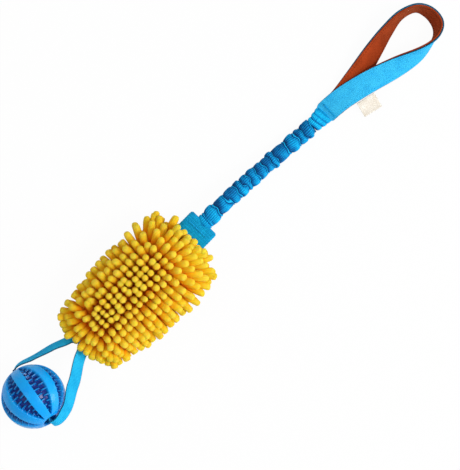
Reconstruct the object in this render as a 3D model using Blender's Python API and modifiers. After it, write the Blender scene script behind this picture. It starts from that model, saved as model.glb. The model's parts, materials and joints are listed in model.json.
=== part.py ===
"""Bungee tug toy: treat ball, stuffed chenille pad, bungee and loop handle.

It lies on a table: +X runs along the toy to the handle, +Z is up and z = 0 is the table.
The origin is on the table, under the middle of the pad. Lengths are in metres.
"""
import math
import random

import bmesh
import bpy
from mathutils import Matrix, Vector

MM = 0.001

# Clearances
GAP = 0.3 * MM
OVERRUN = 2.0 * MM

# Stuffed pad
PAD_HALF_LENGTH = 68.0 * MM
PAD_HALF_WIDTH = 36.0 * MM
PAD_CROWN = 15.0 * MM
PANEL_THICKNESS = 2.4 * MM
PAD_END_POWER = 4
PAD_SIDE_POWER = 2.6
PITCH_ALONG_SHARE = 1.12
PITCH_ACROSS_SHARE = 1.22
SEAM_GAP = GAP
FILLING_SLACK = 0.8 * MM

# Chenille noodles
NOODLE_LENGTH = 17.0 * MM
NOODLE_SPREAD = 2.2 * MM
NOODLE_WIDTH = 6.2 * MM
NOODLE_SPACING = 1.2 * MM
NOODLE_PITCH_ALONG = 8.0 * MM
NOODLE_PITCH_ACROSS = 6.5 * MM
NOODLE_TIP_SHARE = 0.7
NOODLE_LEAN_SHARE = 0.72
NOODLE_FLOOR_CUT = 0.5 * MM

# Squeaker in the stuffing
SQUEAKER_RADIUS = 17.0 * MM
SQUEAKER_HALF_HEIGHT = 8.0 * MM
REED_RADIUS = 4.0 * MM
REED_LENGTH = 6.0 * MM

# Neck band and the bungee's flat tail in it
NECK_REACH = 21.0 * MM
NECK_FLAT_SHARE = 0.41
NECK_SIDE_SHARE = 0.85
BAND_LENGTH = 28.0 * MM
BAND_HALF_WIDTH = 18.8 * MM
BAND_WALL = 2.2 * MM
BAND_CORNER = 3.5 * MM
TONGUE_IN_BAND = 6.0 * MM
TAB_WIDTH = 16.0 * MM
NECK_PIVOT_OUT = 2.0 * MM

# Gathered sleeve and elastic core
SLEEVE_LENGTH = 153.4 * MM
SLEEVE_HALF_WIDTH = 9.6 * MM
SLEEVE_HALF_THICKNESS = 6.4 * MM
SLEEVE_DRIFT = 9.9 * MM
RUCHE_COUNT = 14
RUCHE_DEPTH_SHARE = 0.26
SLEEVE_SIDES = 10
BORE_SHARE = 0.6
CORE_HALF_WIDTH = 4.6 * MM
CORE_HALF_THICKNESS = 2.2 * MM

# Sewn end of the sleeve
CUFF_LENGTH = 14.5 * MM
CUFF_WIDTH = 21.0 * MM
CUFF_THICKNESS = 4.6 * MM
CUFF_WEDGE_SHARE = 0.5

# Handle loop
HANDLE_LENGTH = 160.0 * MM
WEBBING_WIDTH = 25.0 * MM
WEBBING_THICKNESS = 1.5 * MM
LINING_WIDTH = 22.0 * MM
LINING_THICKNESS = 1.8 * MM
HANDLE_STATIONS = 56
LINING_SKIPPED_STATIONS = 6
LAYER_GAP = 0.4 * MM

# Route of the loop's middle line: along and across as shares of the handle's length,
# the roll of its inner face above level in degrees, and its lift as a share of the stack
# of two lined legs
HANDLE_ROUTE_SHARES = (
    (0.000, 0.000, 90, 0.00),
    (0.030, 0.000, 90, 0.00),
    (0.085, -0.003, 89, 0.04),
    (0.178, -0.006, 82, 0.00),
    (0.356, 0.022, 66, 0.00),
    (0.559, 0.065, 46, 0.00),
    (0.715, 0.094, 29, 0.00),
    (0.853, 0.104, 19, 0.00),
    (0.962, 0.060, 14, 0.00),
    (1.000, -0.022, 17, 0.00),
    (0.990, -0.115, 18, 0.00),
    (0.940, -0.168, 8, 0.00),
    (0.861, -0.184, -6, 0.00),
    (0.746, -0.174, -29, 0.00),
    (0.571, -0.122, -58, 0.06),
    (0.380, -0.062, -78, 0.98),
    (0.196, -0.018, -88, 1.34),
    (0.085, -0.003, -89, 0.86),
    (0.030, 0.000, -90, 0.00),
    (0.000, 0.000, -90, 0.00),
)

# Thread bars and the folded label
TACK_WIDTH = 2.2 * MM
TACK_HEIGHT = 0.7 * MM
TACK_SIDE = 2.5 * MM
HANDLE_TACK_SHARE = 0.915
TAG_WIDTH = 25.0 * MM
TAG_LENGTH = 16.0 * MM
TAG_THICKNESS = 1.0 * MM
TAG_STATION_SHARE = 0.816
TAG_DROOP_DEGREES = 12.0

# Treat ball
BALL_RADIUS = 35.0 * MM
BALL_BORE_CLEARANCE = 0.7 * MM
BALL_MOUTH = 1.6 * MM
BALL_AXIS_TURN_DEGREES = 7.0
BALL_AXIS_TILT_DEGREES = 20.0
GROOVE_COUNT = 8
GROOVE_DEPTH = 5.0 * MM
GROOVE_HALF_ANGLE = 12.0
GROOVE_END_LATITUDE = 68.0
GROOVE_TEETH = 8
TOOTH_TIP_SHARE = 0.12
TOOTH_SLOPE_SHARE = 0.16
GROOVE_PHASE_DEGREES = 16.0
BALL_SEGMENTS = 32
BALL_RINGS = 16

# Ball strap
STRAP_WIDTH = 14.0 * MM
STRAP_THICKNESS = 1.6 * MM
STRAP_OFFSET = 6.5 * MM
STRAP_SPLAY = 5.8 * MM
STRAP_TAIL_IN = 2.0 * MM
STRAP_PIVOT_OUT = 2.0 * MM
STRAP_REACH = 51.2 * MM
STRAP_TURN_OUT = 6.2 * MM
STRAP_TURN_OUT_FAR = 4.6 * MM
STRAP_STATIONS = 9

# Route of the strap's legs: share of the leg, bow away from the ball as a share of its
# radius, share that its direction is turned square to the pad, and roll from level in degrees
NEAR_LEG_SHARES = ((0.14, 0.0, 0.2, 34), (0.5, 0.064, 0.0, 47), (0.8, 0.112, 0.0, 50))
FAR_LEG_SHARES = ((0.3, 0.0, 0.0, 70), (0.6, 0.0, 0.0, 60), (0.86, 0.0, -0.2, 40))

# Route through the bore, from the raised pole: share of the ball's radius and roll
BORE_ROUTE_SHARES = ((0.9, 70), (0.45, 70), (-0.45, 70), (-0.9, 74))
NEAR_POLE_ROLL_DEGREES = 62
FAR_POLE_ROLL_DEGREES = 74

# Derived places and counts
PAD_ROWS = round(2 * PAD_HALF_LENGTH / NOODLE_PITCH_ALONG)
PAD_COLUMNS = round(2 * PAD_HALF_WIDTH / NOODLE_PITCH_ACROSS)
TONGUE_HALF = SEAM_GAP / 2 + PANEL_THICKNESS
PAD_MID = PAD_CROWN + SEAM_GAP / 2 + NOODLE_LENGTH - NOODLE_FLOOR_CUT
TONGUE_END = PAD_HALF_LENGTH + NECK_REACH
BAND_START = TONGUE_END - TONGUE_IN_BAND
BAND_END = BAND_START + BAND_LENGTH
BAND_HALF_HEIGHT = TONGUE_HALF + GAP + BAND_WALL
NECK_PIVOT = BAND_END + NECK_PIVOT_OUT
SLEEVE_START = NECK_PIVOT + TONGUE_HALF + GAP
SLEEVE_END = SLEEVE_START + SLEEVE_LENGTH
CUFF_START = SLEEVE_END + GAP
HANDLE_PIVOT = CUFF_START + CUFF_LENGTH
HANDLE_ROOT = HANDLE_PIVOT + CUFF_THICKNESS / 2 + GAP
LEG_STACK = 2 * (LINING_THICKNESS + GAP) + GAP
BALL_ALONG = -PAD_HALF_LENGTH - STRAP_REACH - BALL_RADIUS
BALL_CENTRE = Vector((BALL_ALONG, 0, BALL_RADIUS))
STRAP_PIVOT = -PAD_HALF_LENGTH - STRAP_PIVOT_OUT
STRAP_NOSE = STRAP_THICKNESS + GAP / 2
STRAP_TAIL_WIDTH = STRAP_WIDTH + 2 * STRAP_SPLAY

COLOURS = {
    "rubber": ((0.0, 0.24, 0.85), 0.32),
    "strap": ((0.01, 0.33, 0.75), 0.7),
    "sleeve": ((0.0, 0.26, 0.6), 0.75),
    "chenille": ((1.0, 0.62, 0.02), 0.95),
    "felt": ((0.26, 0.035, 0.004), 0.95),
    "stuffing": ((0.85, 0.85, 0.82), 0.95),
    "elastic": ((0.7, 0.7, 0.68), 0.6),
    "squeaker": ((0.8, 0.8, 0.78), 0.4),
    "thread": ((0.01, 0.25, 0.62), 0.6),
    "label": ((0.88, 0.83, 0.72), 0.8),
}


def clear_scene():
    for obj in list(bpy.data.objects):
        bpy.data.objects.remove(obj, do_unlink=True)


def make_collection(name):
    collection = bpy.data.collections.new(name)
    bpy.context.scene.collection.children.link(collection)
    return collection


def make_materials():
    made = {}
    for name, (colour, roughness) in COLOURS.items():
        material = bpy.data.materials.new(name)
        material.use_nodes = True
        shader = material.node_tree.nodes["Principled BSDF"]
        shader.inputs["Base Color"].default_value = (*colour, 1)
        shader.inputs["Roughness"].default_value = roughness
        made[name] = material
    return made


def add_object(name, bm, collection, material=None):
    """Put a bmesh into a new named object."""
    mesh = bpy.data.meshes.new(name)
    bm.to_mesh(mesh)
    bm.free()
    obj = bpy.data.objects.new(name, mesh)
    collection.objects.link(obj)
    if material:
        mesh.materials.append(material)
    return obj


def add_pivot(name, place, collection):
    """An empty on a joint's axis, which carries the pieces that move about it."""
    empty = bpy.data.objects.new(name, None)
    empty.location = place
    empty.empty_display_size = BALL_RADIUS
    collection.objects.link(empty)
    return empty


def parent_keeping_place(obj, pivot):
    obj.parent = pivot
    obj.matrix_parent_inverse = pivot.matrix_world.inverted()


def cut(obj, cutter, operation="DIFFERENCE"):
    modifier = obj.modifiers.new(cutter.name, "BOOLEAN")
    modifier.operation = operation
    modifier.solver = "EXACT"
    modifier.object = cutter
    cutter.hide_render = True
    cutter.display_type = "WIRE"


def smooth(share):
    """Smooth step from 0 to 1."""
    share = min(max(share, 0.0), 1.0)
    return share * share * (3 - 2 * share)


def smooth_round(obj, angle=40.0):
    obj.data.shade_smooth()
    obj.data.set_sharp_from_angle(angle=math.radians(angle))


def grid(rows, columns):
    """A flat grid whose x and y run from -1 to 1, to be moved into a form."""
    bm = bmesh.new()
    bmesh.ops.create_grid(bm, x_segments=rows, y_segments=columns, size=1)
    return bm


def box_piece(name, size, place, collection, material, rotation=(0, 0, 0)):
    bm = bmesh.new()
    bmesh.ops.create_cube(bm, size=1)
    bmesh.ops.scale(bm, vec=Vector(size), verts=bm.verts)
    bevel_edges = [e for e in bm.edges if abs(e.verts[0].co.z - e.verts[1].co.z) > 0]
    corner = min(size[0], size[1]) / 4
    bmesh.ops.bevel(bm, geom=bevel_edges, offset=corner, segments=2, profile=0.5, affect="EDGES")
    obj = add_object(name, bm, collection, material)
    obj.location = place
    obj.rotation_euler = rotation
    return obj


def side_profile_piece(name, outline, width, place, collection, material):
    """A closed outline in the XZ plane, drawn out to both sides along Y."""
    bm = bmesh.new()
    verts = [bm.verts.new((x, -width / 2, z)) for x, z in outline]
    face = bm.faces.new(verts)
    drawn = bmesh.ops.extrude_face_region(bm, geom=[face])
    moved = [v for v in drawn["geom"] if isinstance(v, bmesh.types.BMVert)]
    bmesh.ops.translate(bm, vec=(0, width, 0), verts=moved)
    bmesh.ops.recalc_face_normals(bm, faces=bm.faces)
    obj = add_object(name, bm, collection, material)
    obj.location = place
    return obj


def nose_arc(radius, facing, steps=6):
    """Half circle about the origin, from the lower side to the upper one, bulging to facing x."""
    angles = [-math.pi / 2 + math.pi * i / steps for i in range(steps + 1)]
    return [(facing * radius * math.cos(a), radius * math.sin(a)) for a in angles]


# Pad: a pillow of two panels, each a curved shell with noodles
def level_share(value, pitch_share):
    """Share of the pad's half length or width: wider steps in the middle, where it is level."""
    return value * (pitch_share - (pitch_share - 1) * value * value)


def neck_share(v):
    """1 across the tongue that enters the neck band, 0 at the pad's sides."""
    out = abs(level_share(v, PITCH_ACROSS_SHARE))
    rise = (NECK_SIDE_SHARE - out) / (NECK_SIDE_SHARE - NECK_FLAT_SHARE)
    return min(max(rise, 0.0), 1.0) ** 2


def tongue_share(u, v):
    """1 on the flat tongue, 0 on the pillow."""
    return neck_share(v) * smooth((u - 1) * PAD_ROWS / 2 + 2)


def strap_lift(u, y):
    """How far the pad's rim opens round the strap's tail."""
    near = PAD_HALF_WIDTH * 2 / PAD_COLUMNS
    outside = abs(y - STRAP_OFFSET) - STRAP_TAIL_WIDTH / 2
    across = smooth(2 - outside / near)
    along = smooth((-u - 1) * PAD_ROWS / 2 + 1)
    return (STRAP_NOSE + GAP - SEAM_GAP / 2) * across * along


def pillow_place(u, v, inset, with_neck):
    """Point of the pillow's upper half, a given depth under its outer face."""
    length = PAD_HALF_LENGTH - inset
    width = PAD_HALF_WIDTH - inset
    crown = PAD_CROWN - inset
    along = level_share(u, PITCH_ALONG_SHARE)
    across = level_share(v, PITCH_ACROSS_SHARE)
    x = length * along * (1 - 0.05 * v ** 4)
    y = width * across * (1 - 0.08 * u ** 4)
    side = (1 - min(abs(along), 1.0) ** PAD_END_POWER) * (1 - min(abs(across), 1.0) ** PAD_SIDE_POWER)
    z = crown * math.sqrt(max(side, 0.0)) + SEAM_GAP / 2
    if with_neck:
        x += NECK_REACH * neck_share(v) * smooth((u - 0.1) / 0.9)
        flat = tongue_share(u, v)
        z = z * (1 - flat) + (TONGUE_HALF - min(inset, PANEL_THICKNESS)) * flat
        z += strap_lift(u, y)
    return Vector((x, y, z))


def carries_noodle(u, v):
    """Noodles cover the panel, but for its tongue and the strap's way out."""
    if tongue_share(u + 1 / PAD_ROWS, v) > 0.5:
        return False
    y = pillow_place(u, v, 0, False).y
    at_strap = u < -1 + 2 / PAD_ROWS and abs(y - STRAP_OFFSET) < STRAP_TAIL_WIDTH / 2 + NOODLE_WIDTH
    return not at_strap


def noodle_direction(normal):
    """The noodles of the rim lie flatter than the fabric's normal."""
    return Vector((normal.x, normal.y, normal.z * NOODLE_LEAN_SHARE)).normalized()


def square_up(face):
    """Make an inset cell a square of the noodle's width, or less where the cell is narrow."""
    normal = face.normal.copy()
    centre = face.calc_center_median()
    longest = max(e.calc_length() for e in face.edges)
    half = min(NOODLE_WIDTH, face.calc_area() / longest) / 2
    along = Vector((1, 0, 0)) - normal * normal.x
    along.normalize()
    across = normal.cross(along)
    for vert in face.verts:
        offset = vert.co - centre
        sign_along = 1 if offset.dot(along) > 0 else -1
        sign_across = 1 if offset.dot(across) > 0 else -1
        vert.co = centre + (along * sign_along + across * sign_across) * half
        vert.co.z = max(vert.co.z, SEAM_GAP)


def grow_noodles(bm, faces, rng):
    """Inset each cell, draw it out to a strand and narrow its tip."""
    bmesh.ops.inset_individual(bm, faces=faces, thickness=NOODLE_SPACING / 2, use_even_offset=True)
    for face in faces:
        square_up(face)
    bm.normal_update()
    for face in bmesh.ops.extrude_discrete_faces(bm, faces=faces)["faces"]:
        direction = noodle_direction(face.normal)
        length = NOODLE_LENGTH - NOODLE_SPREAD * rng.random() * (1 - direction.z ** 8)
        centre = face.calc_center_median()
        for vert in face.verts:
            vert.co = centre + (vert.co - centre) * NOODLE_TIP_SHARE + direction * length


def pad_panel(name, upper, collection, material):
    """One fabric panel: outer and inner skin closed at the rim, with noodles outside."""
    bm = grid(PAD_ROWS, PAD_COLUMNS)
    inner = set(bm.verts)
    bmesh.ops.extrude_face_region(bm, geom=bm.faces[:])
    centres = {}
    for face in bm.faces:
        if not any(v in inner for v in face.verts):
            centres[face] = face.calc_center_median().copy()
    for vert in bm.verts:
        inset = PANEL_THICKNESS if vert in inner else 0
        vert.co = pillow_place(vert.co.x, vert.co.y, inset, True)
    bmesh.ops.recalc_face_normals(bm, faces=bm.faces)
    bm.normal_update()
    hairy = [f for f, c in centres.items() if carries_noodle(c.x, c.y)]
    grow_noodles(bm, hairy, random.Random(11))
    if not upper:
        bmesh.ops.scale(bm, vec=(1, 1, -1), verts=bm.verts)
        bmesh.ops.reverse_faces(bm, faces=bm.faces)
    for vert in bm.verts:
        vert.co.z = max(vert.co.z, -PAD_MID)
    bmesh.ops.triangulate(bm, faces=bm.faces, quad_method="SHORT_EDGE")
    obj = add_object(name, bm, collection, material)
    obj.location = (0, 0, PAD_MID)
    return obj


def filling_half(name, upper, pocket, collection, material):
    """Half of the stuffing: a dome with a flat split face and a pocket for the squeaker."""
    bm = grid(PAD_ROWS, PAD_COLUMNS)
    for vert in bm.verts:
        vert.co = pillow_place(vert.co.x, vert.co.y, PANEL_THICKNESS + FILLING_SLACK, False)
    rim = [e for e in bm.edges if e.is_boundary]
    bmesh.ops.edgeloop_fill(bm, edges=rim)
    bmesh.ops.recalc_face_normals(bm, faces=bm.faces)
    if not upper:
        bmesh.ops.scale(bm, vec=(1, 1, -1), verts=bm.verts)
        bmesh.ops.reverse_faces(bm, faces=bm.faces)
    obj = add_object(name, bm, collection, material)
    obj.location = (0, 0, PAD_MID)
    cut(obj, pocket)
    return obj


def turned(name, profile, steps, collection, material=None):
    """A profile of (radius, height), top to bottom, turned about Z by a Screw."""
    bm = bmesh.new()
    verts = [bm.verts.new((radius, 0, height)) for radius, height in profile]
    for first, second in zip(verts, verts[1:]):
        bm.edges.new((first, second))
    obj = add_object(name, bm, collection, material)
    screw = obj.modifiers.new("turn", "SCREW")
    screw.steps = steps
    screw.render_steps = steps
    screw.use_merge_vertices = True
    screw.merge_threshold = GAP / 100
    screw.use_smooth_shade = True
    return obj


def bulb_profile(grow):
    """Half oval from pole to pole."""
    steps = 8
    radius = SQUEAKER_RADIUS + grow
    height = SQUEAKER_HALF_HEIGHT + grow
    angles = [math.pi / 2 - math.pi * i / steps for i in range(1, steps)]
    side = [(radius * math.cos(a), height * math.sin(a)) for a in angles]
    return [(0, height)] + side + [(0, -height)]


def add_squeaker(collection, cutters, materials):
    """Squeaker bulb, its reed plug at the side, and the pocket cutters for the stuffing."""
    centre = (0, 0, PAD_MID)
    bulb = turned("squeaker_bulb", bulb_profile(0), 20, collection, materials["squeaker"])
    bulb.location = centre
    reed_x = SQUEAKER_RADIUS + GAP + REED_LENGTH / 2
    reed = cylinder("squeaker_reed", REED_RADIUS, REED_LENGTH, 16, collection, materials["squeaker"])
    reed.rotation_euler = (0, math.pi / 2, 0)
    reed.location = (reed_x, 0, PAD_MID)
    pocket = turned("squeaker_pocket", bulb_profile(GAP), 20, cutters)
    pocket.location = centre
    reed_room = cylinder("reed_pocket", REED_RADIUS + GAP, REED_LENGTH + OVERRUN, 16, cutters)
    reed_room.rotation_euler = (0, math.pi / 2, 0)
    reed_room.location = (reed_x - OVERRUN / 2 + GAP, 0, PAD_MID)
    cut(pocket, reed_room, "UNION")
    return pocket


def cylinder(name, radius, length, segments, collection, material=None):
    bm = bmesh.new()
    bmesh.ops.create_cone(
        bm, cap_ends=True, segments=segments, radius1=radius, radius2=radius, depth=length
    )
    return add_object(name, bm, collection, material)


# Neck
def rounded_rectangle(half_width, half_height, corner, steps=4):
    """Outline in (y, z), as four arcs."""
    points = []
    for quarter in range(4):
        sign_y = (1, -1, -1, 1)[quarter]
        sign_z = (1, 1, -1, -1)[quarter]
        for i in range(steps + 1):
            angle = math.pi / 2 * (quarter + i / steps)
            y = sign_y * (half_width - corner) + corner * math.cos(angle)
            z = sign_z * (half_height - corner) + corner * math.sin(angle)
            points.append((y, z))
    return points


def neck_band(collection, material):
    """Flat tube of wrapped webbing: an open skin, thickened inwards."""
    bm = bmesh.new()
    outline = rounded_rectangle(BAND_HALF_WIDTH, BAND_HALF_HEIGHT, BAND_CORNER)
    verts = [bm.verts.new((0, y, z)) for y, z in outline]
    edges = [bm.edges.new((verts[i - 1], verts[i])) for i in range(len(verts))]
    drawn = bmesh.ops.extrude_edge_only(bm, edges=edges)
    moved = [v for v in drawn["geom"] if isinstance(v, bmesh.types.BMVert)]
    bmesh.ops.translate(bm, vec=(BAND_LENGTH, 0, 0), verts=moved)
    bmesh.ops.recalc_face_normals(bm, faces=bm.faces)
    obj = add_object("neck_band", bm, collection, material)
    obj.location = (BAND_START, 0, PAD_MID)
    wall = obj.modifiers.new("wall", "SOLIDIFY")
    wall.thickness = BAND_WALL
    wall.offset = -1
    wall.use_even_offset = True
    smooth_round(obj)
    return obj


def bungee_root_tab(collection, material):
    """Flat tail in the band, with a round nose on the neck's bending axis."""
    start = TONGUE_END + GAP - NECK_PIVOT
    outline = nose_arc(TONGUE_HALF, 1)
    outline += [(start, TONGUE_HALF), (start, -TONGUE_HALF)]
    return side_profile_piece(
        "bungee_root_tab", outline, TAB_WIDTH, (NECK_PIVOT, 0, PAD_MID), collection, material
    )


# Bungee
def sleeve_middle(share):
    """Middle line of the sleeve: it sinks from the neck to the table and drifts sideways."""
    x = SLEEVE_START + SLEEVE_LENGTH * share
    y = -SLEEVE_DRIFT * share * math.sqrt(abs(share))
    low = PAD_MID * (1 - smooth(share)) + SLEEVE_HALF_THICKNESS * smooth(share)
    return Vector((x, y, low + GAP * smooth(share)))


def oval_tube(name, half_width, half_height, stations, scale_at, collection, material=None):
    """Oval tube along the sleeve's middle line, by moving the rings of an open cylinder."""
    bm = bmesh.new()
    rings = []
    for share in stations:
        middle = sleeve_middle(share)
        size = scale_at(share)
        ring = []
        for i in range(SLEEVE_SIDES):
            angle = 2 * math.pi * (i + 0.5) / SLEEVE_SIDES
            offset = Vector((0, half_width * math.cos(angle), half_height * math.sin(angle)))
            ring.append(bm.verts.new(middle + offset * size))
        rings.append(ring)
    loops = []
    for ring in rings:
        loops.append([bm.edges.new((ring[i - 1], ring[i])) for i in range(SLEEVE_SIDES)])
    for first, second in zip(loops, loops[1:]):
        bmesh.ops.bridge_loops(bm, edges=first + second)
    bm.faces.new(rings[0])
    bm.faces.new(rings[-1])
    bmesh.ops.recalc_face_normals(bm, faces=bm.faces)
    return add_object(name, bm, collection, material)


def ruche(share):
    """Width of the gathered sleeve: full on each fold, drawn in between folds."""
    wave = math.cos(2 * math.pi * RUCHE_COUNT * share)
    return 1 - RUCHE_DEPTH_SHARE * (0.5 + 0.5 * wave)


def bungee_sleeve(collection, cutters, material):
    steps = 2 * RUCHE_COUNT
    stations = [i / steps for i in range(steps + 1)]
    obj = oval_tube(
        "bungee_sleeve", SLEEVE_HALF_WIDTH, SLEEVE_HALF_THICKNESS, stations, ruche, collection, material
    )
    over = OVERRUN / SLEEVE_LENGTH
    bore_stations = [-over] + [i / 8 for i in range(9)] + [1 + over]
    bore = oval_tube(
        "sleeve_bore",
        SLEEVE_HALF_WIDTH * BORE_SHARE,
        SLEEVE_HALF_THICKNESS * BORE_SHARE,
        bore_stations,
        lambda share: 1,
        cutters,
    )
    cut(obj, bore)
    return obj


def elastic_core(collection, material):
    stations = [i / 16 for i in range(17)]
    return oval_tube(
        "elastic_core", CORE_HALF_WIDTH, CORE_HALF_THICKNESS, stations, lambda share: 1, collection, material
    )


def sleeve_end_cuff(collection, material):
    """The tube flattens to its sewn end, whose round nose is the handle's bending axis."""
    half = CUFF_THICKNESS / 2
    start = CUFF_START - HANDLE_PIVOT
    wedge_end = start + CUFF_LENGTH * CUFF_WEDGE_SHARE
    tall = 2 * SLEEVE_HALF_THICKNESS * (1 - RUCHE_DEPTH_SHARE) - half
    outline = nose_arc(half, 1)
    outline += [(wedge_end, half), (start, tall), (start, -half)]
    return side_profile_piece(
        "sleeve_end_cuff", outline, CUFF_WIDTH, (HANDLE_PIVOT, -SLEEVE_DRIFT, half), collection, material
    )


# Handle
def rest_height(roll):
    """Height of the ribbon's middle when its lowest edge touches the table."""
    skin = WEBBING_THICKNESS if roll > 0 else LINING_THICKNESS
    skin += LAYER_GAP / 2
    turned = math.radians(abs(roll))
    return WEBBING_WIDTH / 2 * math.cos(turned) + skin * math.sin(turned)


def handle_nodes():
    """Route points of the loop in the part's frame, each with its roll in radians."""
    nodes = []
    for along, across, roll, lift in HANDLE_ROUTE_SHARES:
        x = HANDLE_ROOT + HANDLE_LENGTH * along
        y = -SLEEVE_DRIFT + HANDLE_LENGTH * across
        z = rest_height(roll) + LEG_STACK * lift
        nodes.append((Vector((x, y, z)), math.radians(roll)))
    for place, roll in nodes[:2] + nodes[-2:]:
        place.z = CUFF_THICKNESS / 2
    return nodes


def spline(values, share):
    """Smooth curve through evenly counted values: a Catmull-Rom spline."""
    count = len(values) - 1
    place = min(max(share, 0.0), 1.0) * count
    i = min(int(place), count - 1)
    t = place - i
    p1, p2 = values[i], values[i + 1]
    p0 = values[i - 1] if i > 0 else p1 * 2 - p2
    p3 = values[i + 2] if i + 2 <= count else p2 * 2 - p1
    bend = (p0 * 2 - p1 * 5 + p2 * 4 - p3) * t * t + (p1 * 3 - p0 - p2 * 3 + p3) * t * t * t
    return (p1 * 2 + (p2 - p0) * t + bend) / 2


def handle_frame(nodes, share):
    """Middle, width direction and inner normal of the ribbon at a share of its route."""
    places = [n[0] for n in nodes]
    rolls = [n[1] for n in nodes]
    step = 0.002
    middle = spline(places, share)
    ahead = spline(places, share + step) - spline(places, share - step)
    ahead.normalize()
    roll = spline(rolls, share)
    inside = Vector((ahead.y, -ahead.x, 0)).normalized()
    across = inside * -math.sin(roll) + Vector((0, 0, math.cos(roll)))
    normal = ahead.cross(across).normalized()
    across = normal.cross(ahead).normalized()
    return middle, across, normal


def ribbon(name, width, thickness, first, side, collection, material):
    """One layer of the loop: a strip on the route, thickened to one side of it."""
    nodes = handle_nodes()
    stations = HANDLE_STATIONS - 2 * first
    bm = grid(stations, 2)
    for vert in bm.verts:
        share = (first + stations * (vert.co.x + 1) / 2) / HANDLE_STATIONS
        middle, across, normal = handle_frame(nodes, share)
        vert.co = middle + across * (width / 2 * vert.co.y) + normal * (side * LAYER_GAP / 2)
    obj = add_object(name, bm, collection, material)
    layer = obj.modifiers.new("layer", "SOLIDIFY")
    layer.thickness = thickness
    layer.offset = side
    layer.use_even_offset = True
    return obj


def handle_webbing(collection, material):
    return ribbon("handle_webbing", WEBBING_WIDTH, WEBBING_THICKNESS, 0, -1, collection, material)


def handle_lining(collection, material):
    first = LINING_SKIPPED_STATIONS
    return ribbon("handle_lining", LINING_WIDTH, LINING_THICKNESS, first, 1, collection, material)


def handle_tag(collection, material):
    """Folded label at the lower edge of the leg that lies on top."""
    middle, across, normal = handle_frame(handle_nodes(), TAG_STATION_SHARE)
    ahead = across.cross(normal).normalized()
    droop = math.radians(TAG_DROOP_DEGREES)
    out = (-across * math.cos(droop) - Vector((0, 0, math.sin(droop)))).normalized()
    face = ahead.cross(out).normalized()
    place = middle - across * (WEBBING_WIDTH / 2 + GAP) + out * (TAG_LENGTH / 2 + GAP)
    tag = box_piece("handle_tag", (TAG_WIDTH, TAG_LENGTH, TAG_THICKNESS), place, collection, material)
    turn = Matrix((ahead, out, face)).transposed()
    tag.rotation_euler = turn.to_euler()
    return tag


# Thread bars
def add_tacks(collection, material):
    """Bar tacks on the neck band, on the cuff and on the handle's upper leg."""
    band_top = PAD_MID + BAND_HALF_HEIGHT
    middle = BAND_START + BAND_LENGTH * 0.62
    neck = box_piece(
        "neck_bar_tack",
        (TACK_WIDTH, 2 * (BAND_HALF_WIDTH - BAND_CORNER - TACK_SIDE), TACK_HEIGHT),
        (middle, 0, band_top + GAP + TACK_HEIGHT / 2),
        collection,
        material,
    )
    cuff = box_piece(
        "cuff_bar_tack",
        (TACK_WIDTH, CUFF_WIDTH - 2 * TACK_SIDE, TACK_HEIGHT),
        (HANDLE_PIVOT - 2 * TACK_WIDTH, -SLEEVE_DRIFT, CUFF_THICKNESS + GAP + TACK_HEIGHT / 2),
        collection,
        material,
    )
    middle, across, normal = handle_frame(handle_nodes(), HANDLE_TACK_SHARE)
    ahead = across.cross(normal).normalized()
    place = middle - normal * (WEBBING_THICKNESS + LAYER_GAP / 2 + GAP + TACK_HEIGHT / 2)
    handle = box_piece(
        "handle_bar_tack",
        (TACK_WIDTH, WEBBING_WIDTH - 2 * TACK_SIDE, TACK_HEIGHT),
        place,
        collection,
        material,
    )
    handle.rotation_euler = Matrix((ahead, across, ahead.cross(across))).transposed().to_euler()
    return neck, cuff, handle


# Ball
def ball_axis():
    """Direction of the bore, out of the pole that faces away from the strap's longer leg."""
    turn = math.radians(BALL_AXIS_TURN_DEGREES)
    tilt = math.radians(BALL_AXIS_TILT_DEGREES)
    level = Vector((-math.sin(turn), -math.cos(turn), 0))
    return level * math.cos(tilt) + Vector((0, 0, math.sin(tilt)))


def tooth_edge(step):
    """Outline of one side of a groove over a tooth: wall, slope, tip, slope, in shares."""
    place = step % 1
    if place < 0.5:
        fall = (place - 0.5) / TOOTH_SLOPE_SHARE + 1
    else:
        fall = (1 - place) / TOOTH_SLOPE_SHARE
    fall = min(max(fall, 0), 1)
    return 1 - (1 + TOOTH_TIP_SHARE) * fall


def groove_stations():
    """Shares along a groove, at the corners of the teeth of its two sides."""
    shares = []
    for tooth in range(GROOVE_TEETH):
        for corner in (0, 0.5 - TOOTH_SLOPE_SHARE, 0.5, 1 - TOOTH_SLOPE_SHARE):
            shares.append((tooth + corner) / GROOVE_TEETH)
    shares.append(1.0)
    return shares


def groove_cutter(number, cutters):
    """A lens with interleaved teeth on both sides, between the groove's floor and the outside."""
    middle = math.radians(GROOVE_PHASE_DEGREES + number * 360 / GROOVE_COUNT)
    stations = groove_stations()
    bm = grid(len(stations) - 1, 1)
    floor_verts = set(bm.verts)
    bmesh.ops.extrude_face_region(bm, geom=bm.faces[:])
    for vert in bm.verts:
        index = round((vert.co.x + 1) / 2 * (len(stations) - 1))
        share = stations[index]
        latitude = math.radians(GROOVE_END_LATITUDE) * (2 * share - 1)
        lens = 0.12 + 0.88 * math.cos(math.pi / 2 * (2 * share - 1)) ** 0.8
        side = 1 if vert.co.y > 0 else -1
        phase = share * GROOVE_TEETH + (0.5 if side > 0 else 0)
        half_angle = math.radians(GROOVE_HALF_ANGLE) * lens / max(math.cos(latitude), 0.5) ** 0.5
        longitude = middle + side * half_angle * tooth_edge(phase + 0.0001)
        radius = BALL_RADIUS - GROOVE_DEPTH if vert in floor_verts else BALL_RADIUS + OVERRUN
        ring = radius * math.cos(latitude)
        height = radius * math.sin(latitude)
        vert.co = Vector((ring * math.cos(longitude), ring * math.sin(longitude), height))
    bmesh.ops.recalc_face_normals(bm, faces=bm.faces)
    return add_object("groove_cutter_%d" % number, bm, cutters)


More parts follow.
